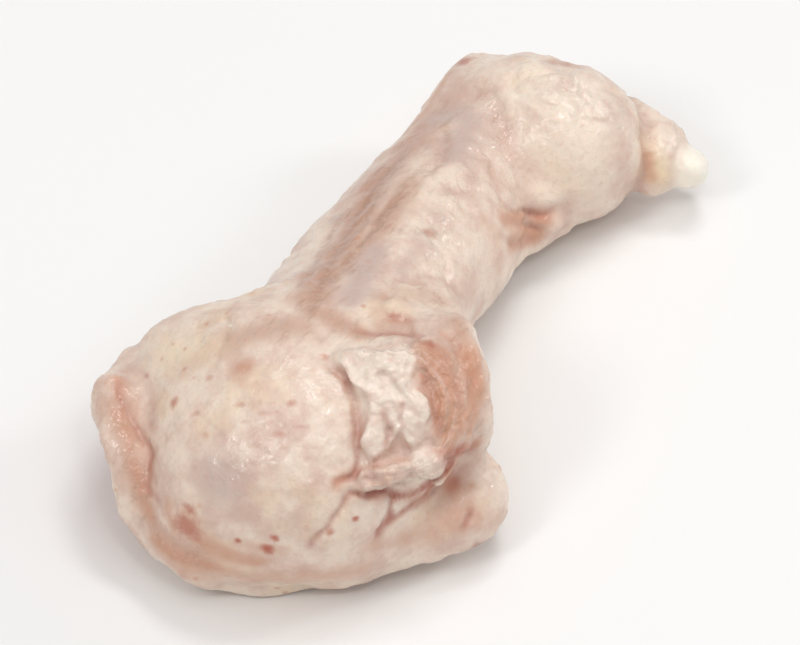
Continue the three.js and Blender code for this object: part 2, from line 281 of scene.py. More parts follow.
class Clay:
    """A grid of distances to a surface in millimetres, below zero inside."""

    def __init__(self, low, high, step):
        self.low = np.array(low, float)
        self.step = step
        self.counts = np.ceil((np.array(high) - self.low) / step).astype(int) + 1
        self.gap = np.full(self.counts, FAR, np.float32)

    def block(self, low, high):
        """The part of the grid inside a box, and the places of its points."""
        first = np.clip((low - self.low) // self.step, 0, self.counts).astype(int)
        last = np.clip((high - self.low) // self.step + 2, 0, self.counts).astype(int)
        part = tuple(slice(a, b) for a, b in zip(first, last))
        lines = [self.low[i] + self.step * np.arange(first[i], last[i]) for i in range(3)]
        return part, np.stack(np.meshgrid(*lines, indexing="ij"), -1).astype(np.float32)

    def gap_to(self, form, margin, waver=None):
        """The distance to a form near it, piece by piece; waver bends the space it is set in."""
        gap = np.full(self.gap.shape, FAR, np.float32)
        for piece in form.pieces:
            part, places = self.block(piece.low - margin, piece.high + margin)
            bent = places if waver is None else places + waver(places)
            gap[part] = np.minimum(gap[part], piece.gap(bent))
        return gap

    def join(self, form, blend, waver=None):
        """Adds a form with a fillet."""
        self.gap = soft_min(self.gap, self.gap_to(form, blend + JOIN_MARGIN, waver), blend)

    def carve(self, form, blend):
        """Takes a form away."""
        self.gap = -soft_min(-self.gap, self.gap_to(form, blend + JOIN_MARGIN), blend)

    def swell(self, low, high, amount):
        """Moves the surface outwards inside a box, by amount(places) millimetres."""
        part, places = self.block(low, high)
        gap = self.gap[part]
        near = np.abs(gap) < SHELL
        gap[near] -= amount(places[near])

    def sample(self, places):
        """The distance at any places, between the grid's points."""
        where = np.clip((places - self.low) / self.step, 0, self.counts - 1.001)
        first = where.astype(int)
        share = where - first
        total = np.zeros(places.shape[:-1])
        for corner in np.ndindex(2, 2, 2):
            weight = np.prod(np.where(corner, share, 1 - share), axis=-1)
            at = first + corner
            total += weight * self.gap[at[..., 0], at[..., 1], at[..., 2]]
        return total

    def slope(self, places):
        """Which way is out, at any places."""
        rows = [
            self.sample(places + axis) - self.sample(places - axis)
            for axis in np.eye(3) * self.step
        ]
        slope = np.stack(rows, -1)
        return slope / np.maximum(np.linalg.norm(slope, axis=-1, keepdims=True), 1e-9)

    def first_met(self, starts, direction):
        """Where straight lines from outside first meet the surface."""
        reach = np.arange(0, 2 * FAR, self.step / 2)
        gaps = self.sample(starts[:, None] + reach[None, :, None] * direction)
        first = np.maximum((gaps < 0).argmax(axis=1), 1)
        rows = np.arange(len(starts))
        before, after = gaps[rows, first - 1], gaps[rows, first]
        share = before / np.maximum(before - after, 1e-6)
        return starts + direction * (reach[first - 1] + share * self.step / 2)[:, None]


STEP = 0.39
CLAY_LOW = (-54, -31, -1.5)
CLAY_HIGH = (54, 31, 37)
clay = Clay(CLAY_LOW, CLAY_HIGH, STEP)
print("Clay block:", clay.counts, "points,", STEP, "mm apart")

# %% [markdown]
# ## Forms
# Two kinds of form are enough. An ellipsoid is a muscle or a lump, and a limb is a round thing
# along a line, with a radius at each place of it. The distance to a line alone says how near a
# crease is. Each form knows its own box, so that only that part of the clay is worked on. Lines are
# Catmull-Rom curves through the places that are given.

# %% The forms
class Form:
    """A shape as a distance, with the box in which it lies and the pieces that it is made of."""

    def __init__(self, low, high, gap):
        self.low, self.high, self.gap = low, high, gap
        self.pieces = [self]


def ellipsoid(centre, radii, axes):
    """An ellipsoid: its middle, three radii and three axes."""
    centre = np.asarray(centre, np.float32)
    radii = np.asarray(radii, np.float32)
    turn = axes.T.astype(np.float32)

    def gap(places):
        share = (places - centre) @ turn / radii
        level = np.sqrt((share**2).sum(-1))
        slope = np.sqrt(((share / radii) ** 2).sum(-1))
        return level * (level - 1) / np.maximum(slope, 1e-9)

    return Form(centre - radii.max(), centre + radii.max(), gap)


LINE_STEPS = 5
LEAST_RADIUS = 0.05


def smooth_line(rows):
    """A smooth line through rows of numbers of any width."""
    rows = np.array(rows, float)
    ends = [2 * rows[0] - rows[1], 2 * rows[-1] - rows[-2]]
    rows = np.vstack([ends[0], rows, ends[1]])
    line = []
    for before, here, there, after in zip(rows, rows[1:], rows[2:], rows[3:]):
        for share in np.arange(LINE_STEPS) / LINE_STEPS:
            bend = 2 * before - 5 * here + 4 * there - after
            twist = -before + 3 * here - 3 * there + after
            line.append(here + 0.5 * share * (there - before + share * (bend + share * twist)))
    return np.array(line + [rows[-2]], np.float32)


def gap_to_line(places, line, radii=None):
    """The distance from places to a line of points, less the line's own radius."""
    least = np.full(places.shape[:-1], FAR, np.float32)
    thick = np.zeros(len(line)) if radii is None else radii
    for i in range(len(line) - 1):
        run = line[i + 1] - line[i]
        offset = places - line[i]
        share = np.clip(offset @ run / (run @ run + 1e-9), 0, 1)
        gap = np.sqrt(((offset - share[..., None] * run) ** 2).sum(-1))
        least = np.minimum(least, gap - thick[i] - (thick[i + 1] - thick[i]) * share)
    return least


def link(line, thick):
    """A round form along a line of points, with a thickness at each."""
    reach = thick.max()
    return Form(line.min(0) - reach, line.max(0) + reach,
                lambda where: gap_to_line(where, line, thick))


def limb(places, radii):
    """A round form through places, with a radius at each, in pieces of two steps."""
    rows = smooth_line(np.column_stack([places, radii]))
    line, thick = rows[:, :3], np.maximum(rows[:, 3], LEAST_RADIUS)
    whole = link(line, thick)
    stops = range(0, len(line) - 1, 2)
    whole.pieces = [link(line[i:i + 3], thick[i:i + 3]) for i in stops]
    return whole


def seen_limb(rows):
    """A limb from rows of (right, up, height, radius)."""
    return limb([seen(*row[:3]) for row in rows], [row[3] for row in rows])


print("Forms: ellipsoid, limb")

# %% [markdown]
# ## Flesh
# These are the big forms under the skin: the shoulder end with its corner, cheek and heel, the
# neck and a muscle beside it, the knob's two lobes, the tendon along the far side, the web behind
# the rolled edge, and the ear. They are those of the faceted solid. The mound that the fat curls
# out of, the knob's right side and the web of skin under the knob are fuller than there. Each
# one says how softly it joins those before it.

# %% Flesh
FLESH = [
    # (form, how softly it joins)
    (ellipsoid(seen(-11.0, -15.0, 14.5), (17.6, 20.4, 16.0), floor_axes(-25)), 1),
    (ellipsoid(seen(-18.0, -23.0, 10.5), (11.0, 10.5, 11.8), floor_axes()), 7),
    (ellipsoid(seen(-24.5, -6.5, 16.0), (6.0, 6.0, 6.0), floor_axes()), 6),
    (ellipsoid(seen(1.5, -12.5, 13.5), (14.0, 13.0, 14.8), floor_axes()), 6),
    (ellipsoid(seen(-5.0, -25.0, 9.5), (10.0, 9.0, 9.0), facing_axes()), 5),
    (seen_limb([
        (-4.0, -5.0, 16.0, 11.5),
        (1.5, 1.5, 14.5, 11.0),
        (6.6, 9.8, 13.0, 10.4),
        (10.6, 16.4, 11.8, 9.2),
        (14.5, 21.0, 11.0, 8.6),
        (19.0, 24.5, 11.2, 8.8),
    ]), 5),
    (ellipsoid(seen(11.5, 7.2, 10.5), (9.5, 6.0, 7.5), floor_axes()), 4),
    (ellipsoid(seen(24.6, 22.4, 10.6), (10.6, 9.4, 11.6), floor_axes()), 3),
    (ellipsoid(seen(20.0, 26.6, 12.5), (10.5, 7.0, 8.0), facing_axes(-10)), 3.5),
    (seen_limb([
        (-9.0, -1.0, 13.0, 7.0),
        (-5.0, 6.0, 13.0, 6.0),
        (-1.0, 12.0, 12.5, 4.8),
        (4.0, 18.4, 12.2, 3.6),
        (8.6, 24.2, 12.5, 3.0),
        (13.2, 32.0, 13.5, 2.4),
    ]), 4),
    (seen_limb([
        (-31.0, -9.5, 16.5, 2.2),
        (-31.0, -13.0, 15.5, 2.8),
        (-29.6, -18.5, 13.0, 3.2),
        (-27.0, -24.0, 10.5, 3.6),
        (-21.5, -28.5, 8.0, 4.0),
    ]), 3),
    (ellipsoid(seen(4.5, -28.0, 6.2), (9.5, 4.4, 5.4), facing_axes(10)), 2),
    (ellipsoid(seen(11.4, -23.4, 8.0), (6.4, 6.4, 5.2), facing_axes(-8)), 2.5),
    (ellipsoid(seen(3.8, -13.0, 23.9), (8.6, 10.4, 4.8), facing_axes(6)), 3.5),
    (ellipsoid(seen(8.6, -10.0, 20.8), (5.8, 9.4, 6.3), facing_axes(-8)), 3),
    (ellipsoid(seen(27.2, 21.6, 10.6), (8.6, 8.2, 9.6), floor_axes()), 2),
    (seen_limb([
        (15.4, 7.8, 6.8, 3.0),
        (18.0, 9.6, 6.5, 3.0),
        (20.6, 11.0, 6.2, 2.8),
        (23.4, 12.4, 5.9, 2.4),
    ]), 2.6),
]

for form, blend in FLESH:
    clay.join(form, blend)
print("Flesh:", len(FLESH), "forms,", round((clay.gap < 0).sum() * STEP**3 / 1000, 1), "cm3")

# %% [markdown]
# ## Unevenness
# Nothing on a bird is a clean tube. A wavering field bends the space round each fold a little, so
# that its edge wanders. The field is a sum of a few waves in random directions, which is smooth,
# cheap, and the same in every run because the generator has a seed.

# %% Unevenness
WAVES = 9
WAVE_SPREAD = 2.2


def wavering(size, length, seed):
    """A smooth field of small random vectors, about size long, that change over a length."""
    draw = np.random.default_rng(seed)
    runs = draw.normal(size=(3, WAVES, 3)) * (WAVE_SPREAD / length)
    phases = draw.uniform(0, 2 * math.pi, size=(3, WAVES))
    scale = size * math.sqrt(2 / WAVES)

    def field(places):
        parts = [
            np.cos(places @ runs[axis].T.astype(np.float32) + phases[axis]).sum(-1)
            for axis in range(3)
        ]
        return (scale * np.stack(parts, -1)).astype(np.float32)

    return field


fold_waver = wavering(0.5, 4.0, seed=4)
edge_waver = wavering(0.6, 7.0, seed=9)
line_waver = wavering(0.3, 2.6, seed=12)
print("Folds waver by", np.abs(fold_waver(np.zeros((1, 3), np.float32))).round(2), "mm here")

# %% [markdown]
# ## Placing things on the skin
# A fold seen in the picture plane has to lie on the clay. A straight line from the viewer through
# the place that is seen meets the clay at one point, and the fold is lifted off or sunk from there
# along the way out of the skin.

# %% On the skin
def on_skin(rows):
    """(right, up) or (right, up, lift) rows as places on the clay."""
    rows = np.array(rows, float)
    starts = VIEW_MIDDLE + rows[:, :1] * RIGHT + rows[:, 1:2] * UP + FAR * TOWARDS
    places = clay.first_met(starts, -TOWARDS)
    if rows.shape[1] > 2:
        places = places + clay.slope(places) * rows[:, 2:3]
    return places


def skin_limb(rows):
    """A limb that lies on the clay, from rows of (right, up, lift, radius)."""
    return limb(on_skin([row[:3] for row in rows]), [row[3] for row in rows])


def skin_lump(place, radii, rolled=0.0):
    """An ellipsoid on the clay at (right, up, lift), facing the viewer."""
    return ellipsoid(on_skin([place])[0], radii, facing_axes(rolled))


print("The middle of the thick end lies at", on_skin([(-15.0, -15.0)])[0].round(1))

# %% [markdown]
# ## The cut shoulder
# Low on the far side the joint was cut through at the shoulder. There the skin ends in a rolled edge
# round a shallow oval of bare meat, with the pale head of the bone in it. A flat ellipsoid takes
# the hollow out and four lumps fill it, one of them the bone's head.

# %% The cut shoulder
CUT_FROM = np.array([-30.1, 9.8, 14.5])
CUT_FACES = unit(np.array([-0.45, 0.75, -0.45]))
CUT_HALF_WIDTH = 12
CUT_HALF_HEIGHT = 8
CUT_DEPTH = 3
CUT_EDGE = 2.1
CUT_EDGE_ANGLES = np.radians(np.linspace(105, 305, 8))
BONE_LUMP = 2

cut_across = unit(np.cross(STRAIGHT_UP, CUT_FACES))
cut_up = np.cross(CUT_FACES, cut_across)
cut_axes = np.array([cut_across, cut_up, CUT_FACES])
cut_middle = clay.first_met((CUT_FROM + CUT_FACES * FAR)[None], -CUT_FACES)[0]


def on_cut(across, up, lift=0.0):
    """A place on the flesh in front of the cut, lifted or sunk."""
    start = cut_middle + cut_across * across + cut_up * up + CUT_FACES * FAR
    return clay.first_met(start[None], -CUT_FACES)[0] + CUT_FACES * lift


cut_lumps = [
    (on_cut(-4.5, 1.2, -3.2), (5.2, 4.4, 2.6)),
    (on_cut(1.2, 3.0, -3.4), (5.4, 3.4, 2.6)),
    (on_cut(5.4, -1.6, -2.8), (3.9, 3.7, 3.3)),
    (on_cut(-0.8, -3.4, -3.0), (5.6, 3.0, 2.4)),
]
cut_edge = [
    on_cut(CUT_HALF_WIDTH * math.cos(angle), CUT_HALF_HEIGHT * math.sin(angle))
    for angle in CUT_EDGE_ANGLES
]
hollow = (CUT_HALF_WIDTH, CUT_HALF_HEIGHT, CUT_DEPTH + 1)
clay.carve(ellipsoid(cut_middle + CUT_FACES, hollow, cut_axes), 1.0)
for place, radii in cut_lumps:
    clay.join(ellipsoid(place, radii, cut_axes), 0.5, fold_waver)
print("Cut shoulder: middle at", cut_middle.round(1))

# %% [markdown]
# ## The rolled edge
# Loose skin rolls over along the lower edge of the thick end, from under the heel, up the far left and
# on round the cut. It is one long limb. Its rows are given as seen, and its last stretch runs
# round the cut's oval.

# %% The rolled edge
RIM_ROWS = [
    # (right, up, height, radius)
    (2.0, -29.4, 4.4, 3.0),
    (-3.0, -31.0, 4.0, 3.6),
    (-10.0, -31.9, 4.2, 3.6),
    (-18.0, -31.4, 5.2, 3.5),
    (-24.6, -29.9, 7.0, 3.3),
    (-28.4, -27.0, 9.0, 3.2),
    (-30.6, -22.5, 12.0, 3.0),
    (-32.4, -17.0, 15.0, 2.9),
    (-33.8, -11.5, 17.0, 2.6),
]
rim_places = [seen(*row[:3]) for row in RIM_ROWS] + cut_edge
rim_radii = [row[3] for row in RIM_ROWS] + [CUT_EDGE] * len(cut_edge)
clay.join(limb(rim_places, rim_radii), 1.8, edge_waver)
print("Rolled edge:", len(rim_places), "places along it")

# %% [markdown]
# ## The cut elbow
# At the other end the joint was cut through the elbow. A pad and the white gristle on the end of
# the bone stick out there, with a rag of skin over them.

# %% The cut elbow
ELBOW_FORMS = [
    (ellipsoid(seen(37.0, 20.9, 8.0), (4.2, 5.4, 5.0), facing_axes(-12)), 1.2),
    (ellipsoid(seen(41.2, 19.4, 7.6), (2.8, 3.0, 4.2), facing_axes()), 0.9),
    (seen_limb([
        (33.3, 28.4, 12.0, 0.7),
        (34.5, 27.1, 12.0, 1.4),
        (36.7, 25.2, 11.0, 1.8),
        (38.6, 22.9, 10.0, 1.6),
        (39.4, 20.6, 9.2, 1.0),
    ]), 0.6),
]
for form, blend in ELBOW_FORMS:
    clay.join(form, blend)
print("Elbow:", len(ELBOW_FORMS), "forms")

# %% [markdown]
# ## The lip and the lumps of the rosette
# On the near side the skin ends in a free edge, the lip, and white fat swells out beside it like a
# rosette. The lip is a limb on the clay. Below the rosette hang a smooth pale lump and a pink one
# that is full of small grains of fat. Two more lumps fill out the knob's lower edge and the web
# under it.

# %% The lip and the lumps
LIP = [
    # (right, up, lift, radius)
    (10.0, 1.0, 0.0, 0.7),
    (11.8, -3.0, 0.1, 1.1),
    (13.0, -8.0, 0.3, 1.4),
    (13.3, -13.0, 0.2, 1.5),
    (13.0, -17.0, 0.0, 1.5),
    (12.2, -20.0, -0.6, 1.4),
]
# Each lump is its (right, up, lift), its three radii and how far it is rolled
KNOB_LUMPS = [
    ((20.8, 15.6, -0.5), (3.6, 1.7, 1.7), -4),
    ((21.6, 12.5, -0.4), (3.2, 1.7, 1.5), -4),
]
PALE_LUMP = ((7.0, -19.0, 0.0), (2.9, 2.3, 1.9), -20)
PINK_LUMP = ((0.9, -20.3, 0.1), (4.0, 2.2, 1.7), 4)
GRAINS = [
    (-1.7, -20.0), (-0.3, -21.4), (0.6, -19.8), (1.6, -21.2), (2.6, -19.9), (3.5, -21.3), (4.2, -19.6),
]
GRAIN_LIFT = 0.1
GRAIN_RADII = (0.85, 0.85, 0.68)

pale_lump = skin_lump(*PALE_LUMP)
pink_lump = skin_lump(*PINK_LUMP)
lip = skin_limb(LIP)
clay.join(lip, 1.6)
for lump in KNOB_LUMPS:
    clay.join(skin_lump(*lump), 2.0)
clay.join(pale_lump, 0.4)
clay.join(pink_lump, 0.5, line_waver)
for right, up in GRAINS:
    clay.join(skin_lump((right, up, GRAIN_LIFT), GRAIN_RADII), 0.3, line_waver)
print("Lip, four lumps and", len(GRAINS), "grains")

# %% [markdown]
# ## Flaps
# A flap of skin or fat that lies on the clay is a plateau: inside its outline the surface is raised
# by the flap's thickness, and it falls off within a short edge. Outlines are given as seen, in the
# picture plane, and the plane is bent a little by the wavering field.

# %% Flaps
def in_plane(points):
    """Points as (right, up) in the picture plane, bent a little."""
    offset = points + line_waver(points) - VIEW_MIDDLE.astype(np.float32)
    return np.stack([offset @ RIGHT.astype(np.float32), offset @ UP.astype(np.float32)], -1)


def gap_to_outline(points, outline):
    """The distance in the picture plane to a closed outline, below zero inside it."""
    where = in_plane(points.astype(np.float32))
    closed = np.vstack([outline, outline[:1]])
    inside = np.zeros(where.shape[:-1], bool)
    for (x0, y0), (x1, y1) in zip(closed, closed[1:]):
        level = (where[..., 1] < y0) != (where[..., 1] < y1)
        lean = (x1 - x0) / (y1 - y0) if y1 != y0 else 0.0
        inside ^= level & (where[..., 0] < x0 + (where[..., 1] - y0) * lean)
    return np.where(inside, -1, 1) * gap_to_line(where, closed)


def faded(share):
    """Zero to one, with a soft start and end."""
    share = np.clip(share, 0, 1)
    return share * share * (3 - 2 * share)


def raise_flap(outline, thickness, edge):
    """Raises the skin inside an outline of (right, up) corners; returns the smooth outline."""
    smooth = smooth_line(outline + outline[:1])[:-1]
    rim = on_skin(smooth)
    clay.swell(rim.min(0) - SHELL, rim.max(0) + SHELL,
               lambda points: thickness * faded(0.5 - gap_to_outline(points, smooth) / edge))
    return smooth


CUP = [
    (2.0, 0.2), (1.6, 1.4), (2.4, 2.8), (4.0, 4.0), (6.2, 4.6), (8.8, 4.0), (10.9, 2.2), (12.6, -1.6),
    (14.4, -7.0), (15.4, -12.0), (15.0, -17.0), (9.0, -17.5), (6.2, -12.0), (5.6, -5.4), (5.0, -1.6),
]
ROSETTE = [
    (-4.8, -5.8), (-3.1, -4.2), (-0.5, -3.8), (2.1, -3.6), (4.7, -3.9), (5.5, -5.6), (5.3, -8.2),
    (6.8, -10.3), (7.7, -12.1), (7.1, -14.7), (5.6, -16.8), (4.3, -15.8), (3.5, -15.3), (2.6, -15.9),
    (1.5, -17.5), (-0.2, -18.4), (-1.8, -17.0), (-1.7, -14.2), (-0.8, -11.4), (-1.6, -9.9),
    (-2.7, -8.2), (-4.4, -6.9),
]
TONGUE = [
    (-2.4, -23.2), (2.2, -23.2), (2.4, -25.4), (0.8, -28.0), (-3.0, -29.4), (-7.4, -29.2), (-5.0, -26.0),
]
ROSETTE_MIDDLE = (2.0, -12.5)
ROSETTE_EDGE = 0.8
FLAPS = [
    # (outline, thickness, width of the edge)
    (CUP, 0.6, 0.8),
    (TONGUE, 0.25, 1.6),
    (ROSETTE, 0.9, ROSETTE_EDGE),
]
rosette_outline = [raise_flap(*flap) for flap in FLAPS][-1]
print("Flaps raised:", len(FLAPS))

# %% [markdown]
# ## Where the creases run
# Where two swellings of skin meet there is a sharp line, often reddish. Each row has the line as
# seen, how wide and how deep the crease is, and how red. The redness is used later, when the skin
# is painted: partly the skin's own red, partly painted shade in the crease.

# %% Creases
# Long folds on the neck, and short ones on top of the thick end. They are painted too, later on.
NECK_FOLDS = [
    [(3.5, 20.5), (1.2, 17.8), (-1.8, 13.5), (-5.3, 7.4), (-7.5, 2.2)],
    [(4.6, 16.0), (1.2, 13.1), (-0.5, 10.5), (-2.3, 8.3), (-5.5, 4.5)],
    [(-9.5, 4.0), (-6.5, 9.0), (-3.6, 13.6)],
    [(9.4, 25.0), (9.6, 22.4), (8.6, 20.0), (7.0, 18.0)],
]
TOP_FOLDS = [
    [(-22.2, 0.2), (-22.3, -2.0), (-21.8, -4.0)],
    [(-18.7, 0.6), (-18.6, -1.6), (-19.2, -3.2)],
]
CREASES = [
    # Between the rolled edge and the thick end
    ([(-32.8, -9.4), (-32.3, -11.2), (-31.3, -12.9), (-30.2, -14.8), (-29.5, -16.8),
      (-29.1, -18.8), (-28.8, -21.2), (-28.0, -24.0)], 0.5, 0.4, 0.5),
    # Left of the rosette, round its lower left corner, and under it
    ([(-5.8, -6.6), (-4.4, -8.0), (-3.1, -9.2), (-2.2, -11.6), (-2.4, -14.6), (-2.2, -17.6),
      (-2.4, -20.0), (-3.6, -21.3), (-5.2, -22.2)], 0.35, 0.55, 0.6),
    ([(-2.6, -22.6), (0.0, -22.9), (3.4, -22.9), (6.6, -22.4), (8.6, -21.4), (9.8, -19.8),
      (10.5, -17.8), (11.6, -16.4)], 0.35, 0.7, 1.0),
    # Down the heel, either side of the tongue of skin under the rosette, and above the ear
    ([(-2.6, -22.9), (-4.4, -24.9), (-6.2, -27.0), (-8.4, -29.8)], 0.45, 0.6, 0.6),
    ([(2.6, -22.9), (2.2, -25.4), (1.4, -27.0), (0.4, -28.5)], 0.35, 0.6, 0.9),
    ([(2.0, -25.8), (4.2, -24.4), (7.3, -22.8), (8.6, -21.5)], 0.35, 0.5, 0.8),
    # Beside the elbow knob, under it, and on the web of skin there
    ([(15.4, 20.4), (15.5, 18.2), (16.2, 15.6), (17.4, 13.9)], 0.4, 0.35, 0.2),
    ([(16.9, 14.2), (18.6, 13.6), (21.0, 13.4), (23.6, 13.6)], 0.3, 0.3, 0.5),
    ([(18.0, 11.9), (20.4, 11.8), (22.6, 11.9)], 0.35, 0.2, 0.3),
    ([(16.6, 10.2), (18.8, 9.6), (20.4, 9.8)], 0.35, 0.2, 0.3),
    # Over the cup's upper edge, and from there to the knob
    ([(1.0, 1.8), (2.0, 3.3), (3.8, 4.5), (6.4, 5.1), (9.2, 4.4), (11.6, 2.2)], 0.35, 0.25, 0.15),
    ([(9.6, 16.8), (12.6, 15.6), (15.2, 14.6), (17.0, 13.8)], 0.4, 0.25, 0.15),
    # Inside the lip
    ([(10.6, -3.4), (11.3, -6.0), (11.8, -10.0), (11.4, -15.5)], 0.5, 0.3, 0.1),
    # In the rosette: the hollow between its legs, under its ridge, along its right side
    ([(1.3, -12.4), (1.7, -14.2), (1.5, -16.4)], 0.7, 0.9, 0.6),
    ([(3.2, -11.4), (3.5, -12.8), (3.8, -14.8)], 0.4, 0.5, 0.6),
    ([(0.8, -6.2), (2.2, -8.0), (3.0, -9.4), (3.2, -10.6)], 0.4, 0.25, 0.0),
    ([(6.2, -6.6), (6.6, -8.8), (7.8, -10.8), (8.2, -12.8), (7.8, -15.4)], 0.35, 0.4, 0.4),
    # Above the rosette
    ([(-2.6, -2.2), (0.4, -2.5), (4.0, -2.5), (7.6, -3.2)], 0.35, 0.15, 0.5),
    # Long folds on the neck
    (NECK_FOLDS[0], 0.7, 0.35, 0.0),
    (NECK_FOLDS[1], 0.55, 0.35, 0.0),
    (NECK_FOLDS[2], 0.6, 0.25, 0.0),
    (NECK_FOLDS[3], 0.6, 0.4, 0.0),
    ([(5.6, 10.4), (8.0, 8.6), (10.2, 8.8)], 0.4, 0.35, 0.0),
    ([(6.8, 5.8), (8.0, 7.2), (10.6, 7.4)], 0.4, 0.3, 0.0),
    # On the knob: its crackled top, and the dimple there
    ([(17.0, 33.2), (18.4, 29.6), (21.4, 27.4), (25.0, 26.8)], 0.5, 0.3, 0.0),
    ([(22.0, 31.4), (25.6, 29.4), (27.4, 26.6), (30.0, 25.4)], 0.5, 0.3, 0.0),
    ([(22.9, 33.0), (24.7, 33.3), (26.4, 33.0)], 0.7, 0.7, 0.3),
    # Between the knob and the cut elbow
    ([(33.2, 27.2), (34.6, 24.6), (35.6, 21.4), (35.0, 17.8)], 0.45, 0.2, 0.2),
    # Folds on top of the thick end
    (TOP_FOLDS[0], 0.5, 0.3, 0.0),
    (TOP_FOLDS[1], 0.5, 0.3, 0.0),
    # On the ear
    ([(11.6, -27.0), (12.6, -26.0), (13.2, -25.0)], 0.5, 0.7, 0.8),
]
print("Creases:", len(CREASES))

# %% [markdown]
# ## Where the ridges run
# A ridge is a soft swelling along a line, with a width and a height. A fan of thin ridges fills the
# cup, between the rosette's side and the lip: each lies some way from the inner line to the outer.

# %% Ridges
RIDGES = [
    # The rosette's rolled upper edge, its bright ridge, its two legs and the curl between them
    ([(-4.4, -5.8), (-3.4, -4.8), (-0.1, -4.3), (4.5, -4.4)], 0.6, 0.25),
    ([(-4.0, -6.4), (-2.6, -7.8), (-0.9, -9.8), (0.4, -10.4)], 0.5, 0.35),
    ([(0.4, -5.0), (2.9, -7.6), (4.6, -9.8), (5.9, -12.2)], 0.5, 0.4),
    ([(3.9, -9.2), (4.9, -12.1), (5.4, -14.7), (5.0, -16.4)], 1.0, 0.3),
    ([(-0.2, -11.2), (-0.7, -14.5), (-0.3, -17.7)], 1.0, 0.35),
    ([(1.9, -12.4), (2.5, -14.0), (3.2, -15.2)], 0.4, 0.5),
    # On the web under the knob
    ([(17.4, 12.7), (20.0, 12.5), (22.8, 12.7)], 0.4, 0.3),
    ([(16.8, 11.0), (19.2, 10.7), (21.2, 10.9)], 0.4, 0.3),
    # On the knob's crackled top
    ([(19.4, 31.6), (23.0, 29.6), (26.4, 28.4), (30.6, 28.0)], 0.45, 0.3),
    ([(21.0, 29.2), (24.2, 27.6), (27.6, 26.6), (31.6, 26.2)], 0.45, 0.3),
    ([(18.6, 29.0), (21.4, 26.8), (24.8, 25.4)], 0.5, 0.25),
    # Small bumps on the thick end
    ([(-27.4, -5.6), (-27.2, -5.5)], 0.6, 0.25),
    ([(-29.2, -7.7), (-29.0, -7.6)], 0.6, 0.25),
    ([(-24.3, -7.1), (-24.1, -7.0)], 0.6, 0.25),
    ([(-21.1, -8.0), (-20.9, -7.9)], 0.5, 0.2),
    ([(-20.9, -9.2), (-20.7, -9.1)], 0.5, 0.25),
    ([(-6.5, -5.4), (-6.3, -5.3)], 0.6, 0.25),
]

FAN_INNER = np.array([(5.4, -4.0), (6.4, -7.2), (8.2, -10.4), (8.9, -13.8)])
FAN_OUTER = np.array([(8.0, 2.4), (11.2, -2.6), (12.6, -8.6), (12.4, -15.0)])
FAN_COUNT = 5
FAN_WIDTH = 0.5
FAN_HEIGHT = 0.5
for i in range(FAN_COUNT):
    share = (i + 0.5) / FAN_COUNT
    rows = FAN_INNER * (1 - share) + FAN_OUTER * share
    RIDGES.append((rows.tolist(), FAN_WIDTH, FAN_HEIGHT))
print("Ridges:", len(RIDGES), "with the fan's", FAN_COUNT)

# %% [markdown]
# ## Pinching the skin
# Pushing the surface in along a line by an amount that falls away steeply, and out again just
# beside it, makes a pinched crease. A ridge is pushed out. Distances across a line are counted in
# widths of it, and both kinds fade out towards their ends.

# %% Pinching the skin
CREASE_LIP = 0.12
CREASE_LIP_AT = 2.4
CREASE_STEEPNESS = 1.4
FADE_START = 0.3
FADE_WIDTHS = 5
LINE_WIDTHS = 4
LINE_MARGIN = 1.5


def pinch(across, depth):
    """A crease's cross-section: in along the line, a little out beside it."""
    lip_height = CREASE_LIP * np.exp(-(across - CREASE_LIP_AT) ** 2)
    return depth * (lip_height - np.exp(-across**CREASE_STEEPNESS))


def swelling(across, height):
    """A ridge's cross-section."""
    return height * np.exp(-across**2)


def work_along(rows, width, section, size):
    """Moves the skin along a line; returns the line on the skin and as seen."""
    line = smooth_line(on_skin(rows)).astype(np.float32)
    flat = np.stack([(line - VIEW_MIDDLE) @ RIGHT, (line - VIEW_MIDDLE) @ UP], -1).astype(np.float32)

    def amount(points):
        where = in_plane(points)
        first = np.linalg.norm(where - flat[0], axis=-1)
        last = np.linalg.norm(where - flat[-1], axis=-1)
        fade = faded(FADE_START + np.minimum(first, last) / (FADE_WIDTHS * width))
        return fade * section(gap_to_line(where, flat) / width, size)

    reach = LINE_WIDTHS * width + LINE_MARGIN
    clay.swell(line.min(0) - reach, line.max(0) + reach, amount)
    return line, flat


ridge_lines = [work_along(rows, width, swelling, height) for rows, width, height in RIDGES]
crease_lines = [work_along(rows, width, pinch, depth) for rows, width, depth, _ in CREASES]
print("Worked into the skin:", len(ridge_lines) + len(crease_lines), "lines")

# %% [markdown]
# ## Resting
# Flesh is soft, so where the drumette lies on the table it is pressed flat. The part of the clay
# below the table is taken away with a softened edge.

# %% Resting
PRESS_BLEND = 1.2
TOUCHING = 0.3

heights = clay.low[2] + STEP * np.arange(clay.counts[2])
clay.gap = -soft_min(-clay.gap, heights[None, None, :].astype(np.float32), PRESS_BLEND)
resting = (clay.gap[:, :, np.searchsorted(heights, TOUCHING)] < 0).sum() * STEP**2
print("It rests on about", round(resting), "square millimetres")

# %% [markdown]
# ## Mending the clay
# Where two folds nearly touch, the clay may be joined by a thread thinner than the grid, or hold a
# bubble, and a mesh of that would have edges with more than two faces. So the clay is blurred a
# touch, and each point outside that sits in such a place is filled, until none is left.

# %% Mending the clay
BLUR_SHARE = 0.3
FILLED = np.float32(-0.05 * STEP)


def blurred(gap):
    """The grid with each point averaged with its neighbours."""
    for axis in range(3):
        gap = 0.5 * gap + 0.25 * (np.roll(gap, 1, axis) + np.roll(gap, -1, axis))
    return gap


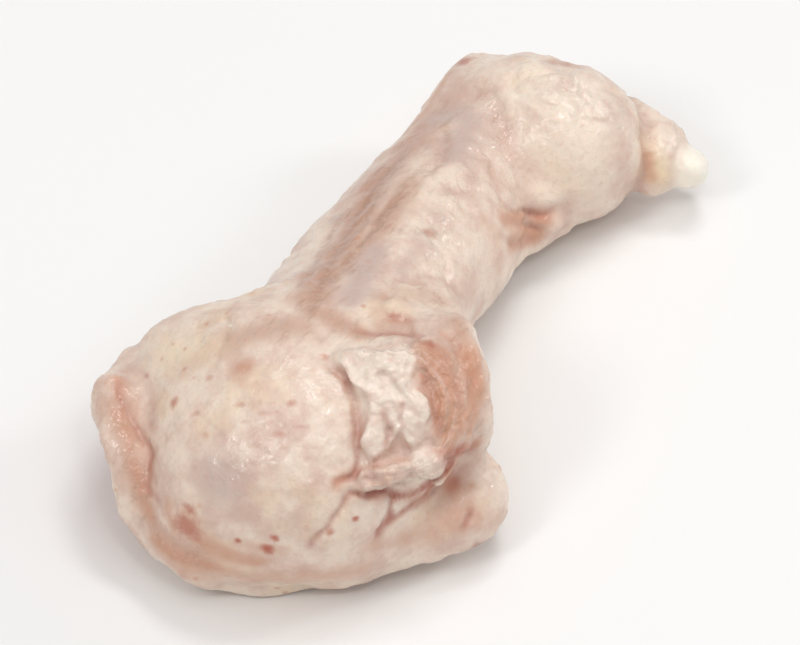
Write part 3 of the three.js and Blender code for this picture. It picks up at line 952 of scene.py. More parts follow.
def pinholes(gap):
    """The points outside where the surface would touch itself or shut in a tiny hole."""
    inside = gap < 0
    holes = np.zeros(inside.shape, bool)
    for axis, other in ((0, 1), (0, 2), (1, 2)):
        beside, above = np.roll(inside, -1, axis), np.roll(inside, -1, other)
        across = np.roll(beside, -1, other)
        chessboard = (inside == across) & (beside == above) & (inside != beside)
        for shift in np.ndindex(2, 2):
            holes |= np.roll(chessboard, shift, (axis, other))
    shut_sides = sum(
        np.roll(inside, shift, axis).astype(np.int8) for axis in range(3) for shift in (-1, 1))
    return (holes | (shut_sides >= 5)) & ~inside


clay.gap = (1 - BLUR_SHARE) * clay.gap + BLUR_SHARE * blurred(clay.gap)
holes = pinholes(clay.gap)
while holes.any():
    print("Filling", holes.sum(), "pinholes")
    clay.gap = np.where(holes, FILLED, clay.gap)
    holes = pinholes(clay.gap)

# %% [markdown]
# ## From clay to mesh
# The surface is where the numbers pass zero. In each cell of the grid that it crosses, one corner
# of the mesh is set at the mean of the crossings on the cell's edges, and each crossed edge of the
# grid makes one quad between its four cells. These surface nets give an even mesh of quads
# with no seams and no poles.

# %% Surface nets
CORNERS = np.array(list(np.ndindex(2, 2, 2)))
CELL_EDGES = [(a, b) for a in range(8) for b in range(a + 1, 8)
              if np.abs(CORNERS[a] - CORNERS[b]).sum() == 1]


def surface_net(block):
    """Corner places and quads of the surface in a clay block."""
    inside = block.gap < 0
    size = np.array(inside.shape) - 1
    count = sum(
        inside[tuple(slice(c, c + s) for c, s in zip(corner, size))].astype(np.int8)
        for corner in CORNERS
    )
    cells = np.argwhere((count > 0) & (count < 8))
    number = np.full(size, -1)
    number[tuple(cells.T)] = np.arange(len(cells))

    total = np.zeros((len(cells), 3))
    crossings = np.zeros(len(cells))
    for a, b in CELL_EDGES:
        first = block.gap[tuple((cells + CORNERS[a]).T)]
        second = block.gap[tuple((cells + CORNERS[b]).T)]
        crossed = (first < 0) != (second < 0)
        share = np.where(crossed, first / np.where(crossed, first - second, 1), 0)
        total += np.where(crossed[:, None], CORNERS[a] + share[:, None] * (CORNERS[b] - CORNERS[a]), 0)
        crossings += crossed
    places = block.low + block.step * (cells + total / crossings[:, None])

    quads = []
    for axis in range(3):
        ahead = np.eye(3, dtype=int)[axis]
        left, right = np.eye(3, dtype=int)[(axis + 1) % 3], np.eye(3, dtype=int)[(axis + 2) % 3]
        here = inside[tuple(slice(1, s) for s in size)]
        there = inside[tuple(slice(1 + a, s + a) for s, a in zip(size, ahead))]
        for crossed, turned in ((here & ~there, False), (~here & there, True)):
            points = np.argwhere(crossed) + 1
            ring = [points - left - right, points - right, points, points - left]
            quad = np.stack([number[tuple(cell.T)] for cell in ring], -1)
            quads.append(quad[:, ::-1] if turned else quad)
    return places, np.vstack(quads)


places, quads = surface_net(clay)
print("Surface net:", len(places), "corners,", len(quads), "quads")

# %% [markdown]
# ## Evening out
# Each corner moves to the mean of its neighbours and then back along the slope of the clay until it
# is on the surface again. The mesh keeps its shape and loses its staircase.

# %% Evening out
SMOOTH_ROUNDS = 3
SMOOTHING = 0.6
LONGEST_PULL = 0.3


def neighbour_mean(values, faces):
    """The mean of each corner's neighbours along the quads' sides."""
    total = np.zeros_like(values)
    count = np.zeros(len(values))
    for side in range(4):
        first, second = faces[:, side], faces[:, (side + 1) % 4]
        for axis in range(values.shape[1]):
            total[:, axis] += np.bincount(first, values[second, axis], len(values))
            total[:, axis] += np.bincount(second, values[first, axis], len(values))
        count += np.bincount(first, minlength=len(values)) + np.bincount(second, minlength=len(values))
    return total / np.maximum(count, 1)[:, None]


for _ in range(SMOOTH_ROUNDS):
    places = (1 - SMOOTHING) * places + SMOOTHING * neighbour_mean(places, quads)
    pull = np.clip(clay.sample(places), -LONGEST_PULL, LONGEST_PULL)
    places = places - clay.slope(places) * pull[:, None]
places[:, 2] = np.maximum(places[:, 2], 0)
outward = clay.slope(places)
print("Skin spans", places.min(0).round(1), "to", places.max(0).round(1), "mm")

# %% [markdown]
# ## Where each colour goes
# The skin's colours follow its forms: white on the curled fat, red in the creases, tan where the skin
# is thick, grey-mauve where it is thin over the flesh. Some strokes paint light and shade as well:
# painted shade in the clefts, the creases, along the rolled edge and beside the lip, painted light
# where the knob and the elbow lie in shade, painted reflected light on the neck's right edge, and
# painted highlights on shiny places and along ridges. Each of these is a mask: one number for each
# corner of the mesh, painted with strokes. A stroke is a line on the skin with a width and a
# strength, and fades out like a soft brush. One mask is no colour: it says where the skin is wet.

# %% Brushes
def stroke_mask(strokes):
    """The strongest of some strokes, each (rows as seen, width, strength)."""
    mask = np.zeros(len(places))
    for rows, width, strength in strokes:
        line = smooth_line(on_skin(rows)) if len(rows) > 1 else on_skin(rows).repeat(2, axis=0)
        gap = gap_to_line(places.astype(np.float32), line.astype(np.float32))
        mask = np.maximum(mask, strength * np.exp(-(gap / width) ** 2))
    return mask


def near_form(form, reach):
    """One on a form, falling to zero at a reach away from it."""
    gap = form.gap(places.astype(np.float32))
    return np.clip(1 - np.maximum(gap, 0) / reach, 0, 1)


# Each stroke is a line as seen, its width and its strength
STROKES = {
    "fat": [
        # Partly the knob's white crackled skin, partly a painted highlight on its upper right
        ([(24.5, 30.5), (28.5, 29.0), (31.0, 26.0)], 2.6, 1.0),
        ([(-5.0, -9.0), (-6.0, -14.0)], 2.5, 0.15),
        # Partly the rag's pale skin, partly painted light where the elbow lies in shade
        ([(34.4, 27.6), (35.6, 25.4), (39.4, 22.0)], 2.7, 1.0),
        ([(-2.0, -25.0), (0.6, -26.0)], 2.0, 0.7),
        # Painted highlight on the ear
        ([(14.4, -20.0), (15.6, -24.6)], 1.8, 0.6),
        # Painted highlight on the neck's shiny patch
        ([(7.5, 8.8), (10.4, 8.0)], 1.6, 0.2),
        ([(14.0, -6.0), (14.6, -14.0)], 0.8, 0.4),
    ],
    "cream_and_light": [
        # The knob's cream, and painted light on its lower side where it lies in shade
        ([(21.0, 32.0), (25.0, 26.0), (27.0, 20.0), (23.0, 15.5)], 4.8, 0.9),
        ([(21.0, 22.6), (24.0, 20.0)], 4.0, 0.9),
        # Painted light on the elbow end, which lies in shade
        ([(36.6, 21.4), (37.2, 19.4)], 3.4, 0.9),
        ([(-28.6, -6.4), (-23.0, -3.4)], 3.4, 0.7),
    ],
    "thin": [
        ([(-15.0, -1.6), (-9.0, -1.0)], 3.0, 0.3),
        ([(-19.8, -21.2)], 5.0, 0.9),
        ([(-10.4, -19.8)], 2.6, 0.4),
        ([(14.5, 27.0), (15.0, 23.0)], 2.6, 0.5),
        ([(9.0, 13.0), (7.0, 8.0)], 2.6, 0.5),
        ([(8.6, 26.0), (12.4, 25.5), (10.4, 21.0)], 3.0, 0.9),
        ([(-4.9, 12.6)], 1.6, 0.9),
        ([(0.3, 8.3), (-1.6, 5.0), (-3.1, 2.2)], 2.4, 1.0),
        ([(6.0, 9.6), (3.4, 5.4)], 2.0, 0.6),
    ],
    "dusk": [
        ([(7.6, 26.0), (6.0, 24.0), (2.5, 19.5), (-1.5, 13.5), (-5.0, 7.5), (-8.0, 2.5)], 4.2, 0.9),
        ([(4.5, 17.0), (0.5, 11.0), (-3.0, 6.0)], 3.2, 0.75),
        # Painted shade on the rolled edge, darker towards the crease
        ([(-33.4, -11.5), (-32.0, -16.5), (-30.6, -21.0), (-28.8, -26.0), (-22.0, -31.5)], 2.2, 0.8),
        ([(12.2, -4.0), (13.2, -9.0), (13.0, -15.0)], 2.4, 0.7),
        ([(8.0, -6.0), (10.0, -12.0)], 3.4, 0.9),
        ([(10.4, -0.6), (12.6, -5.0)], 2.4, 0.7),
        ([(15.4, 29.0), (16.4, 24.5)], 2.6, 0.6),
        ([(4.0, 3.0), (9.0, 2.0)], 3.0, 0.6),
        ([(-18.0, -3.0), (-9.0, -1.2)], 3.6, 0.75),
        ([(-35.8, -9.0), (-34.8, -13.0)], 1.8, 0.6),
        ([(-8.0, 0.8), (-4.4, -1.0), (-1.3, -2.5)], 2.2, 0.85),
        ([(0.3, 0.6), (0.6, -2.2)], 1.6, 0.6),
        ([(-11.0, -4.4), (-6.4, -6.0)], 3.0, 0.4),
        ([(-9.4, -7.2), (-5.8, -7.4)], 2.0, 0.45),
        ([(-7.6, -1.2), (-6.4, -3.0)], 2.0, 0.5),
        ([(1.4, 2.2), (3.8, 2.2)], 1.6, 0.6),
        ([(-32.6, -20.4), (-32.2, -22.6)], 1.5, 0.6),
    ],
    "brown": [
        (NECK_FOLDS[0], 0.7, 0.7),
        ([(2.9, 19.1), (0.8, 16.5), (-0.5, 13.5), (-3.5, 8.5)], 0.5, 0.5),
        (NECK_FOLDS[1], 0.6, 0.7),
        ([(8.5, 21.0), (5.0, 18.0), (2.0, 14.5)], 0.45, 0.5),
        (NECK_FOLDS[2], 0.6, 0.5),
        (NECK_FOLDS[3], 0.5, 0.5),
        ([(5.6, 11.0), (8.0, 10.8)], 0.6, 0.7),
        ([(2.0, 3.3), (3.8, 4.5), (6.4, 5.1), (9.2, 4.4), (11.6, 2.2)], 0.4, 0.3),
        (TOP_FOLDS[0], 0.4, 0.4),
        (TOP_FOLDS[1], 0.4, 0.5),
        ([(34.0, 28.8), (34.4, 28.2)], 0.8, 0.8),
    ],
    "yellow": [
        ([(-27.0, -5.0), (-21.0, -4.4)], 4.6, 0.6),
        # Partly painted light on the knob's lower side, where it lies in shade
        ([(24.0, 19.0), (27.0, 16.6)], 3.0, 0.4),
        ([(18.6, 31.0), (22.0, 31.0)], 2.8, 0.4),
        ([(36.8, 22.4), (37.6, 18.6)], 3.0, 0.9),
        ([(14.0, -24.0), (16.0, -26.0)], 1.8, 0.5),
    ],
    "tan": [
        ([(-33.2, -9.4), (-32.6, -11.4), (-31.6, -13.6), (-30.1, -16.0), (-29.2, -18.6),
          (-28.8, -22.0)], 1.3, 0.6),
        # Painted shade on the rolled edge's inner side, darker towards the crease
        ([(-32.8, -12.5), (-31.4, -16.5), (-30.2, -21.0), (-28.8, -26.0)], 1.7, 0.7),
        ([(1.0, -20.8), (2.0, -20.8)], 2.4, 0.5),
        ([(12.2, -5.6), (12.8, -9.0), (12.4, -14.0)], 2.4, 1.0),
        ([(8.6, -10.5), (9.8, -15.5)], 2.2, 1.0),
        ([(7.4, -4.6), (9.8, -9.0), (10.8, -14.0)], 3.6, 0.9),
        ([(-22.0, -29.4), (-15.0, -31.8)], 2.4, 0.8),
        ([(0.0, -29.5), (6.0, -28.0), (12.0, -25.0)], 3.3, 0.6),
        ([(10.4, -0.6), (11.8, -3.0)], 1.6, 0.4),
        # Partly red skin, partly painted shade in the recess between the lip and the ear
        ([(13.0, -16.6), (11.2, -17.6), (9.2, -17.8)], 1.6, 1.0),
        ([(-4.8, -21.6), (-3.8, -20.8)], 1.4, 0.7),
        # Painted reflected light: the neck's right edge warmed as by reddish light from beside it
        ([(13.0, 3.0), (15.6, 5.4), (18.6, 8.4)], 2.4, 0.35),
        ([(-26.6, -24.4), (-25.6, -27.8)], 1.7, 0.7),
        ([(12.6, -22.4), (12.8, -26.2)], 2.1, 0.6),
        ([(-33.0, -8.2), (-32.2, -10.4)], 1.4, 0.7),
        ([(-28.0, -29.0), (-25.0, -31.2), (-20.0, -32.6)], 2.0, 0.9),
        ([(21.6, 12.6), (24.0, 13.2)], 1.4, 0.3),
        ([(-17.4, -29.2), (-12.0, -30.2)], 1.8, 0.6),
        ([(6.6, -9.6), (6.6, -11.0)], 1.0, 0.6),
        ([(-17.2, -8.6), (-15.0, -9.0)], 1.6, 0.5),
        ([(9.2, -2.2), (9.8, -3.0)], 1.4, 0.6),
        ([(-31.2, -10.8), (-30.6, -13.0)], 1.4, 0.6),
        ([(9.4, -19.0), (10.0, -22.0)], 1.8, 0.9),
        ([(-26.0, -31.0), (-14.0, -33.6), (-2.0, -33.0)], 4.4, 0.65),
        ([(17.0, 12.6), (22.0, 12.6)], 1.8, 0.9),
        ([(18.0, 9.6), (21.0, 10.4)], 2.3, 0.95),
        ([(4.0, 24.0), (10.0, 32.0)], 1.2, 0.7),
        ([(14.8, 12.0), (16.4, 6.0)], 3.0, 0.5),
        ([(35.9, 21.0), (36.4, 18.0)], 1.3, 0.7),
        ([(-17.0, -6.9), (-16.4, -6.4)], 1.6, 0.6),
    ],
    "wet": [
        ([(8.2, 9.4), (11.6, 7.4)], 2.4, 1.0),
        ([(22.0, 31.0), (27.0, 29.0), (30.5, 25.5)], 4.0, 1.0),
        ([(16.0, 26.0), (17.0, 22.0)], 2.5, 0.7),
        ([(12.0, 19.0), (9.0, 13.0)], 2.0, 0.7),
        ([(2.0, 6.0), (-2.0, 3.0)], 2.4, 0.5),
        ([(-14.5, -17.0), (-19.0, -22.0)], 4.5, 0.6),
        ([(-2.0, -25.0), (0.6, -26.0)], 1.8, 0.9),
        ([(13.6, -6.0), (14.2, -14.0)], 1.2, 0.7),
        ([(7.0, -19.0)], 2.6, 0.9),
        ([(-1.0, -5.4), (3.0, -5.8)], 2.4, 0.7),
        ([(-1.4, -14.0), (-0.8, -17.0)], 1.6, 0.8),
        ([(14.4, -20.0), (15.6, -24.0)], 1.6, 0.6),
        ([(40.0, 20.0)], 2.6, 0.6),
    ],
    "blush_and_shade": [
        # Painted shade, reddened, in the recess between the cheek and the ear
        ([(10.6, -19.4), (10.4, -21.4)], 1.3, 0.5),
        ([(9.2, -5.2), (10.4, -8.0), (12.0, -8.8)], 1.8, 0.2),
        # Painted shade, reddened, between the lip and the ear
        ([(12.4, -17.4), (11.2, -18.0), (9.4, -18.4)], 1.3, 0.7),
        ([(11.2, -7.0), (11.2, -9.0)], 1.4, 0.3),
        ([(4.6, -22.9), (6.8, -22.8)], 1.2, 0.65),
        ([(6.5, 27.6), (11.4, 33.2)], 0.9, 0.8),
        ([(1.0, -21.0)], 2.4, 0.1),
        ([(2.4, -0.2), (5.0, -0.6)], 0.8, 0.5),
        ([(7.2, -3.2), (7.6, -3.6)], 0.7, 0.8),
        ([(13.2, -29.6), (14.4, -29.2)], 0.6, 0.8),
    ],
}
# How pale ridge tops are painted: partly their own paler skin and fat, partly a painted highlight
RIDGE_PALENESS_AND_HIGHLIGHT = 0.2
PALE_LUMP_FAT = 0.7
ROSETTE_REACH = 15
masks = {name: stroke_mask(strokes) for name, strokes in STROKES.items()}

rosette_middle = on_skin([ROSETTE_MIDDLE])[0]
near_rosette = np.linalg.norm(places - rosette_middle, axis=1) < ROSETTE_REACH
on_rosette = faded(0.5 - gap_to_outline(places, rosette_outline) / ROSETTE_EDGE)
on_rosette = on_rosette * (near_rosette & (outward @ TOWARDS > 0))
on_pale_lump = PALE_LUMP_FAT * near_form(pale_lump, 0.5)
masks["fat"] = np.maximum.reduce([masks["fat"], on_rosette, on_pale_lump])
masks["wet"] = np.maximum(masks["wet"], on_rosette)
seen_places = in_plane(places.astype(np.float32))


def paint_line(name, worked, width, narrowing, strength):
    """Adds a line that was worked into the skin to a mask."""
    line, flat = worked
    near = gap_to_line(places.astype(np.float32), line) < 4 * width + 1
    across = gap_to_line(seen_places, flat) / (narrowing * width)
    masks[name] = np.maximum(masks[name], near * strength * np.exp(-across**2))


# Ridge tops are painted paler: partly the paler fat and skin, partly a painted highlight along each
# ridge.
for worked, (_, width, _) in zip(ridge_lines, RIDGES):
    paint_line("fat", worked, width, 0.8, RIDGE_PALENESS_AND_HIGHLIGHT)
# Crease lines are painted red: partly the skin's own red, partly painted shade in the crease.
for worked, (_, width, _, redness) in zip(crease_lines, CREASES):
    paint_line("blush_and_shade", worked, width, 0.75, redness)


def shut_in(reach):
    """How much the clay closes over each corner within a reach: zero in the open, one in a cleft."""
    return np.clip(1 - clay.sample(places + reach * outward) / reach, 0, 1)


# Painted shade: the cleft mask also darkens the skin where the clay closes over it, as where little
# light reaches.
NARROW_CLEFT = 0.8
WIDE_CLEFT = 2.4
shut = 0.7 * shut_in(NARROW_CLEFT) + 0.6 * shut_in(WIDE_CLEFT)
masks["cleft"] = np.clip(shut - 0.12, 0, 1)
print("Masks:", {name: round(float(mask.mean()), 3) for name, mask in masks.items()})

# %% [markdown]
# ## Meat, gristle and relief masks
# The oval of the cut shows meat, and the bone's head and the elbow's end are pale gristle. The
# other masks steer the relief: the skin hangs loose where it faces away from the viewer, pores
# belong to the thick feathered skin of the shoulder end, and fine wrinkles to the thin skin. Round
# the rosette they run in arcs, which need two coordinates of their own: how far from its middle
# a corner is, and in which direction.

# %% More masks
CUT_REACH = 6
MEAT_EDGE = 0.98
MEAT_FADE = 0.12
NECK_FROM = -2.0
NECK_TO = 10.0
SWIRL_RADIUS = 9.0
SWIRL_WIDTH = 4.0

from_cut = (places - cut_middle) @ cut_axes.T
oval = np.hypot(from_cut[:, 0] / CUT_HALF_WIDTH, from_cut[:, 1] / CUT_HALF_HEIGHT)
in_cut = (np.abs(from_cut[:, 2]) < CUT_REACH) & (outward @ CUT_FACES > -0.2)
masks["meat"] = np.where(in_cut, np.clip((MEAT_EDGE - oval) / MEAT_FADE, 0, 1), 0)

bone_head = ellipsoid(*cut_lumps[BONE_LUMP], cut_axes)
masks["gristle"] = np.maximum(
    near_form(bone_head, 0.3) * (masks["meat"] > 0),
    near_form(ELBOW_FORMS[1][0], 1.2) ** 2,
)

masks["loose"] = np.clip(0.3 - 1.4 * (outward @ TOWARDS), 0, 1)

on_neck = np.clip((places[:, 0] - NECK_FROM) / (NECK_TO - NECK_FROM), 0, 1)
bare = np.maximum.reduce([masks["fat"], masks["meat"], masks["gristle"], masks["blush_and_shade"]])
masks["pored"] = np.clip((1 - on_neck) * (1 - bare), 0, 1)

from_swirl = places - rosette_middle
swirl_far = np.linalg.norm(from_swirl, axis=1)
swirl_turn = np.arctan2(from_swirl @ UP, from_swirl @ RIGHT)
round_rosette = np.exp(-((swirl_far - SWIRL_RADIUS) / SWIRL_WIDTH) ** 2)
round_rosette = round_rosette * (from_swirl @ RIGHT > -3.0)
masks["wrinkled"] = np.clip(np.maximum(
    round_rosette * (outward @ TOWARDS > 0.1),
    stroke_mask([
        ([(20.5, 33.3), (24.4, 30.9), (28.0, 27.3)], 3.2, 0.9),
        ([(17.0, 28.0), (16.0, 24.0), (13.0, 19.0)], 3.0, 0.8),
        ([(11.4, 17.0), (9.4, 11.0), (9.4, 7.0)], 2.6, 0.9),
        ([(33.0, 27.0), (38.0, 24.0)], 3.0, 0.7),
        ([(-1.0, -7.0), (4.0, -8.0), (6.0, -18.0)], 3.0, 0.3),
    ]),
), 0, 1)
masks["arced"] = masks["wrinkled"] * np.clip((12.0 - swirl_far) / 3, 0, 1)
swirl = np.column_stack([swirl_far, 4.0 * swirl_turn, np.zeros(len(places))])
print("More masks:", [name for name in masks if name not in STROKES])

# %% [markdown]
# ## The mesh
# The corners become a Blender mesh in metres, and every mask becomes an attribute of it, which both
# Geometry Nodes and materials can read by name.

# %% The mesh
sculpt = bpy.data.meshes.new("drumette_skin")
sculpt.from_pydata((places * MM).tolist(), [], quads.tolist())
sculpt.shade_smooth()
for name, mask in masks.items():
    smoothed = neighbour_mean(mask[:, None], quads)[:, 0]
    sculpt.attributes.new(name, "FLOAT", "POINT").data.foreach_set("value", smoothed.astype(np.float32))
sculpt.attributes.new("swirl", "FLOAT_VECTOR", "POINT").data.foreach_set(
    "vector", swirl.astype(np.float32).ravel())
drumette = bpy.data.objects.new("drumette_skin", sculpt)
bpy.context.scene.collection.objects.link(drumette)
print("Mesh:", len(sculpt.vertices), "corners,", 2 * len(sculpt.polygons), "triangles")

# %% [markdown]
# ## Spots
# Small bruises and feather stubs mark the skin. They are finer than the mesh, so they are not
# attributes: a node group measures how far a point of the skin is from a spot's middle, roughens
# that distance with noise, and turns it into a mask. A stretch makes a spot a dash.

# %% A node group for spots
def new_group(name, kind, inputs, outputs):
    """A node group with float, vector or colour sockets; returns it with its two ends."""
    group = bpy.data.node_groups.new(name, kind)
    for title, socket, default in inputs:
        made = group.interface.new_socket(title, in_out="INPUT", socket_type=socket)
        if default is not None:
            made.default_value = default
    for title, socket in outputs:
        group.interface.new_socket(title, in_out="OUTPUT", socket_type=socket)
    start = group.nodes.new("NodeGroupInput")
    end = group.nodes.new("NodeGroupOutput")
    return group, start, end


spot_group, start, end = new_group("Spot", "ShaderNodeTree", [
    ("Place", "NodeSocketVector", None),
    ("Middle", "NodeSocketVector", None),
    ("Along", "NodeSocketVector", None),
    ("Radius", "NodeSocketFloat", 0.001),
    ("Stretch", "NodeSocketFloat", 1.0),
    ("Strength", "NodeSocketFloat", 1.0),
], [("Mask", "NodeSocketFloat")])
offset = add_node(spot_group, "ShaderNodeVectorMath", {
    0: start.outputs["Place"], 1: start.outputs["Middle"],
}, operation="SUBTRACT").outputs[0]
along = add_node(spot_group, "ShaderNodeVectorMath", {
    0: offset, 1: start.outputs["Along"],
}, operation="DOT_PRODUCT").outputs["Value"]
far = add_node(spot_group, "ShaderNodeVectorMath", {0: offset}, operation="LENGTH").outputs["Value"]
aside = calculate(spot_group, "SQRT", calculate(spot_group, "MAXIMUM", 0.0, calculate(
    spot_group, "SUBTRACT", times(spot_group, far, far), times(spot_group, along, along))))
along = calculate(spot_group, "DIVIDE", along, start.outputs["Stretch"])
far = calculate(spot_group, "SQRT", plus(
    spot_group, times(spot_group, along, along), times(spot_group, aside, aside)))
cloud = add_node(spot_group, "ShaderNodeTexNoise",
                 {"Vector": start.outputs["Place"], "Scale": 700.0, "Detail": 3.0})
ragged = times(spot_group, calculate(spot_group, "SUBTRACT", cloud.outputs[0], 0.5), 1.4)
share = calculate(spot_group, "DIVIDE", far, start.outputs["Radius"])
fading = ranged(spot_group, plus(spot_group, share, ragged), 0.1, 1.3, 1.0, 0.0)
spot_group.links.new(times(spot_group, fading, start.outputs["Strength"]), end.inputs["Mask"])
print("Group:", spot_group.name)

# %% [markdown]
# ## Relief
# Pores, wrinkles, loose folds, curds of fat and gentle lumps follow the skin, so Geometry Nodes
# raise them: noise and Voronoi textures are read at each corner, weighed by the masks, and move
# the corner along its normal. A fold is the thin band where a noise passes one half, so folds run
# on and never cross, and curds are what stands between such bands. In clefts there is no room
# for relief, and none is raised. The tree has a named input for each size, in millimetres.

# %% Relief tree
RELIEF_SIZES = {
    "Pore spacing": 2.4,
    "Pore height": 0.12,
    "Wrinkle spacing": 0.9,
    "Wrinkle height": 0.25,
    "Fold spacing": 5.0,
    "Fold depth": 0.4,
    "Curd spacing": 1.8,
    "Curd height": 0.45,
    "Lump spacing": 7.0,
    "Lump height": 0.6,
    "Seed": 3.0,
}
PORE_RANDOMNESS = 0.8
WRINKLE_STRETCH = (0.6, 0.16, 0.0)

relief, start, end = new_group("Skin relief", "GeometryNodeTree", [
    ("Geometry", "NodeSocketGeometry", None),
    *[(name, "NodeSocketFloat", size) for name, size in RELIEF_SIZES.items()],
    ("Skin", "NodeSocketMaterial", None),
], [("Geometry", "NodeSocketGeometry")])


def read_mask(name, kind="FLOAT"):
    """The value of a named attribute, in the relief tree."""
    made = add_node(relief, "GeometryNodeInputNamedAttribute", {"Name": name}, data_type=kind)
    return made.outputs["Attribute"]


def in_spacings(where, name):
    """A place counted in one of the tree's spacings instead of millimetres."""
    made = add_node(relief, "ShaderNodeVectorMath",
                    {0: where, 1: start.outputs[name]}, operation="DIVIDE")
    return made.outputs[0]


def waves(where, **sockets):
    """Noise that swings about zero, in the relief tree."""
    made = add_node(relief, "ShaderNodeTexNoise", {
        "Vector": where, "W": start.outputs["Seed"], "Scale": 1.0, **sockets,
    }, noise_dimensions="4D")
    return calculate(relief, "SUBTRACT", made.outputs[0], 0.5)


where_mm = add_node(relief, "ShaderNodeVectorMath", {
    0: add_node(relief, "GeometryNodeInputPosition").outputs[0], "Scale": 1 / MM,
}, operation="SCALE").outputs[0]

pore = add_node(relief, "ShaderNodeTexVoronoi", {
    "Vector": in_spacings(where_mm, "Pore spacing"), "Scale": 1.0, "Randomness": PORE_RANDOMNESS,
})
pore_bump = ranged(relief, pore.outputs["Distance"], 0.05, 0.4, 1.0, 0.0)
pore_bump = times(relief, pore_bump, start.outputs["Pore height"], read_mask("pored"))

arc_place = add_node(relief, "ShaderNodeVectorMath", {
    0: in_spacings(read_mask("swirl", "FLOAT_VECTOR"), "Wrinkle spacing"), 1: WRINKLE_STRETCH,
}, operation="MULTIPLY").outputs[0]
wrinkle_height = times(relief, start.outputs["Wrinkle height"], 3.0)
wrinkle = times(relief, waves(arc_place, Detail=2.0), wrinkle_height, read_mask("arced"))

band = calculate(relief, "ABSOLUTE", waves(
    in_spacings(where_mm, "Fold spacing"), Detail=2.0, Distortion=0.4))
fold_share = plus(relief, 0.3, read_mask("loose"), read_mask("wrinkled"))
fold = times(relief, ranged(relief, band, 0.0, 0.16, -1.0, 0.0), start.outputs["Fold depth"], fold_share)

curd = calculate(relief, "ABSOLUTE", waves(in_spacings(where_mm, "Curd spacing"), Detail=1.0))
curd = times(relief, curd, times(relief, start.outputs["Curd height"], 4.0), read_mask("fat"))

lump = waves(in_spacings(where_mm, "Lump spacing"), Detail=3.0, Roughness=0.55)
lump = times(relief, lump, times(relief, start.outputs["Lump height"], 2.0))

height = add_node(relief, "ShaderNodeSeparateXYZ", {0: where_mm}).outputs["Z"]
off_table = add_node(relief, "ShaderNodeMapRange", {
    "Value": height, "From Min": 0.2, "From Max": 2.5,
}).outputs[0]
open_skin = calculate(relief, "SUBTRACT", 1.0, read_mask("cleft"))
raised = plus(relief, plus(relief, pore_bump, wrinkle), plus(relief, fold, curd, lump))
raised = times(relief, raised, times(relief, open_skin, off_table), MM)
offset = add_node(relief, "ShaderNodeVectorMath", {
    0: add_node(relief, "GeometryNodeInputNormal").outputs[0], "Scale": raised,
}, operation="SCALE").outputs[0]
moved = add_node(relief, "GeometryNodeSetPosition", {
    "Geometry": start.outputs["Geometry"], "Offset": offset,
})
whole = add_node(relief, "GeometryNodeRealizeInstances", {"Geometry": moved.outputs[0]})
dressed = add_node(relief, "GeometryNodeSetMaterial", {
    "Geometry": whole.outputs[0], "Material": start.outputs["Skin"],
})
relief.links.new(dressed.outputs[0], end.inputs["Geometry"])
print("Relief tree:", len(relief.nodes), "nodes")

# %% [markdown]
# ## Raw skin
# One material covers the drumette, as one skin does. It starts with a cream that is mottled with
# pink, and lays the other colours over it by their masks, each broken up by noise so that no edge
# is clean. Light goes into raw skin, so the shader scatters it a little under the surface, and a
# thin coat gives the wet shine.

# %% Colours
CREAM = linear(238, 219, 202)
PINK = linear(214, 183, 167)
MAUVE = linear(203, 178, 168)
DUSK = linear(197, 156, 136)
BROWN = linear(172, 134, 112)
# Cream, also used as painted light on shaded parts
IVORY_AND_LIGHT = linear(244, 227, 209)
YELLOW = linear(238, 214, 182)
TAN = linear(204, 150, 121)
# The fat's white, also used for painted highlights
FAT_AND_HIGHLIGHT = linear(237, 219, 203)
MEAT = linear(196, 120, 98)
FASCIA = linear(222, 168, 150)
GRISTLE = linear(252, 243, 228)
# The creases' red, also used as painted shade in them
BLUSH_AND_SHADE = linear(170, 88, 66)
BRUISE = linear(182, 98, 72)
# Painted shade for the clefts
CLEFT_SHADE = linear(176, 110, 90)

skin = bpy.data.materials.new("raw_skin")
skin.use_nodes = True
tree = skin.node_tree
shader = tree.nodes["Principled BSDF"]
place = add_node(tree, "ShaderNodeTexCoord").outputs["Object"]


def skin_mask(name):
    """A painted mask in the material."""
    return add_node(tree, "ShaderNodeAttribute", attribute_name=name).outputs["Fac"]


def noise(scale, detail=3.0, where=place, distortion=0.0):
    """A cloud of values round one half, scale counted in waves to a metre."""
    made = add_node(tree, "ShaderNodeTexNoise", {
        "Vector": where, "Scale": scale, "Detail": detail, "Roughness": 0.6,
        "Distortion": distortion,
    })
    return made.outputs[0]


def broken(mask, scale, amount=0.5):
    """A mask with an uneven edge."""
    cloud = calculate(tree, "SUBTRACT", noise(scale), 0.5)
    moved_edge = plus(tree, mask, times(tree, cloud, amount))
    return times(tree, ranged(tree, moved_edge, 0.05, 0.8), mask)


streak_place = add_node(tree, "ShaderNodeMapping", {
    "Vector": place, "Scale": (0.22, 1.0, 1.0), "Rotation": (0.0, 0.0, math.radians(-4)),
}).outputs[0]
swirled = add_node(tree, "ShaderNodeVectorMath", {
    0: add_node(tree, "ShaderNodeAttribute", attribute_name="swirl").outputs["Vector"],
    1: (1.5, 0.3, 0.0),
}, operation="MULTIPLY").outputs[0]
arc_cloud = noise(1.0, 2.5, swirled)
print("Colours ready")

# %% [markdown]
# ## Layers of colour
# Each row is a colour and where it shows, and it lies over those before it. The spots come last.

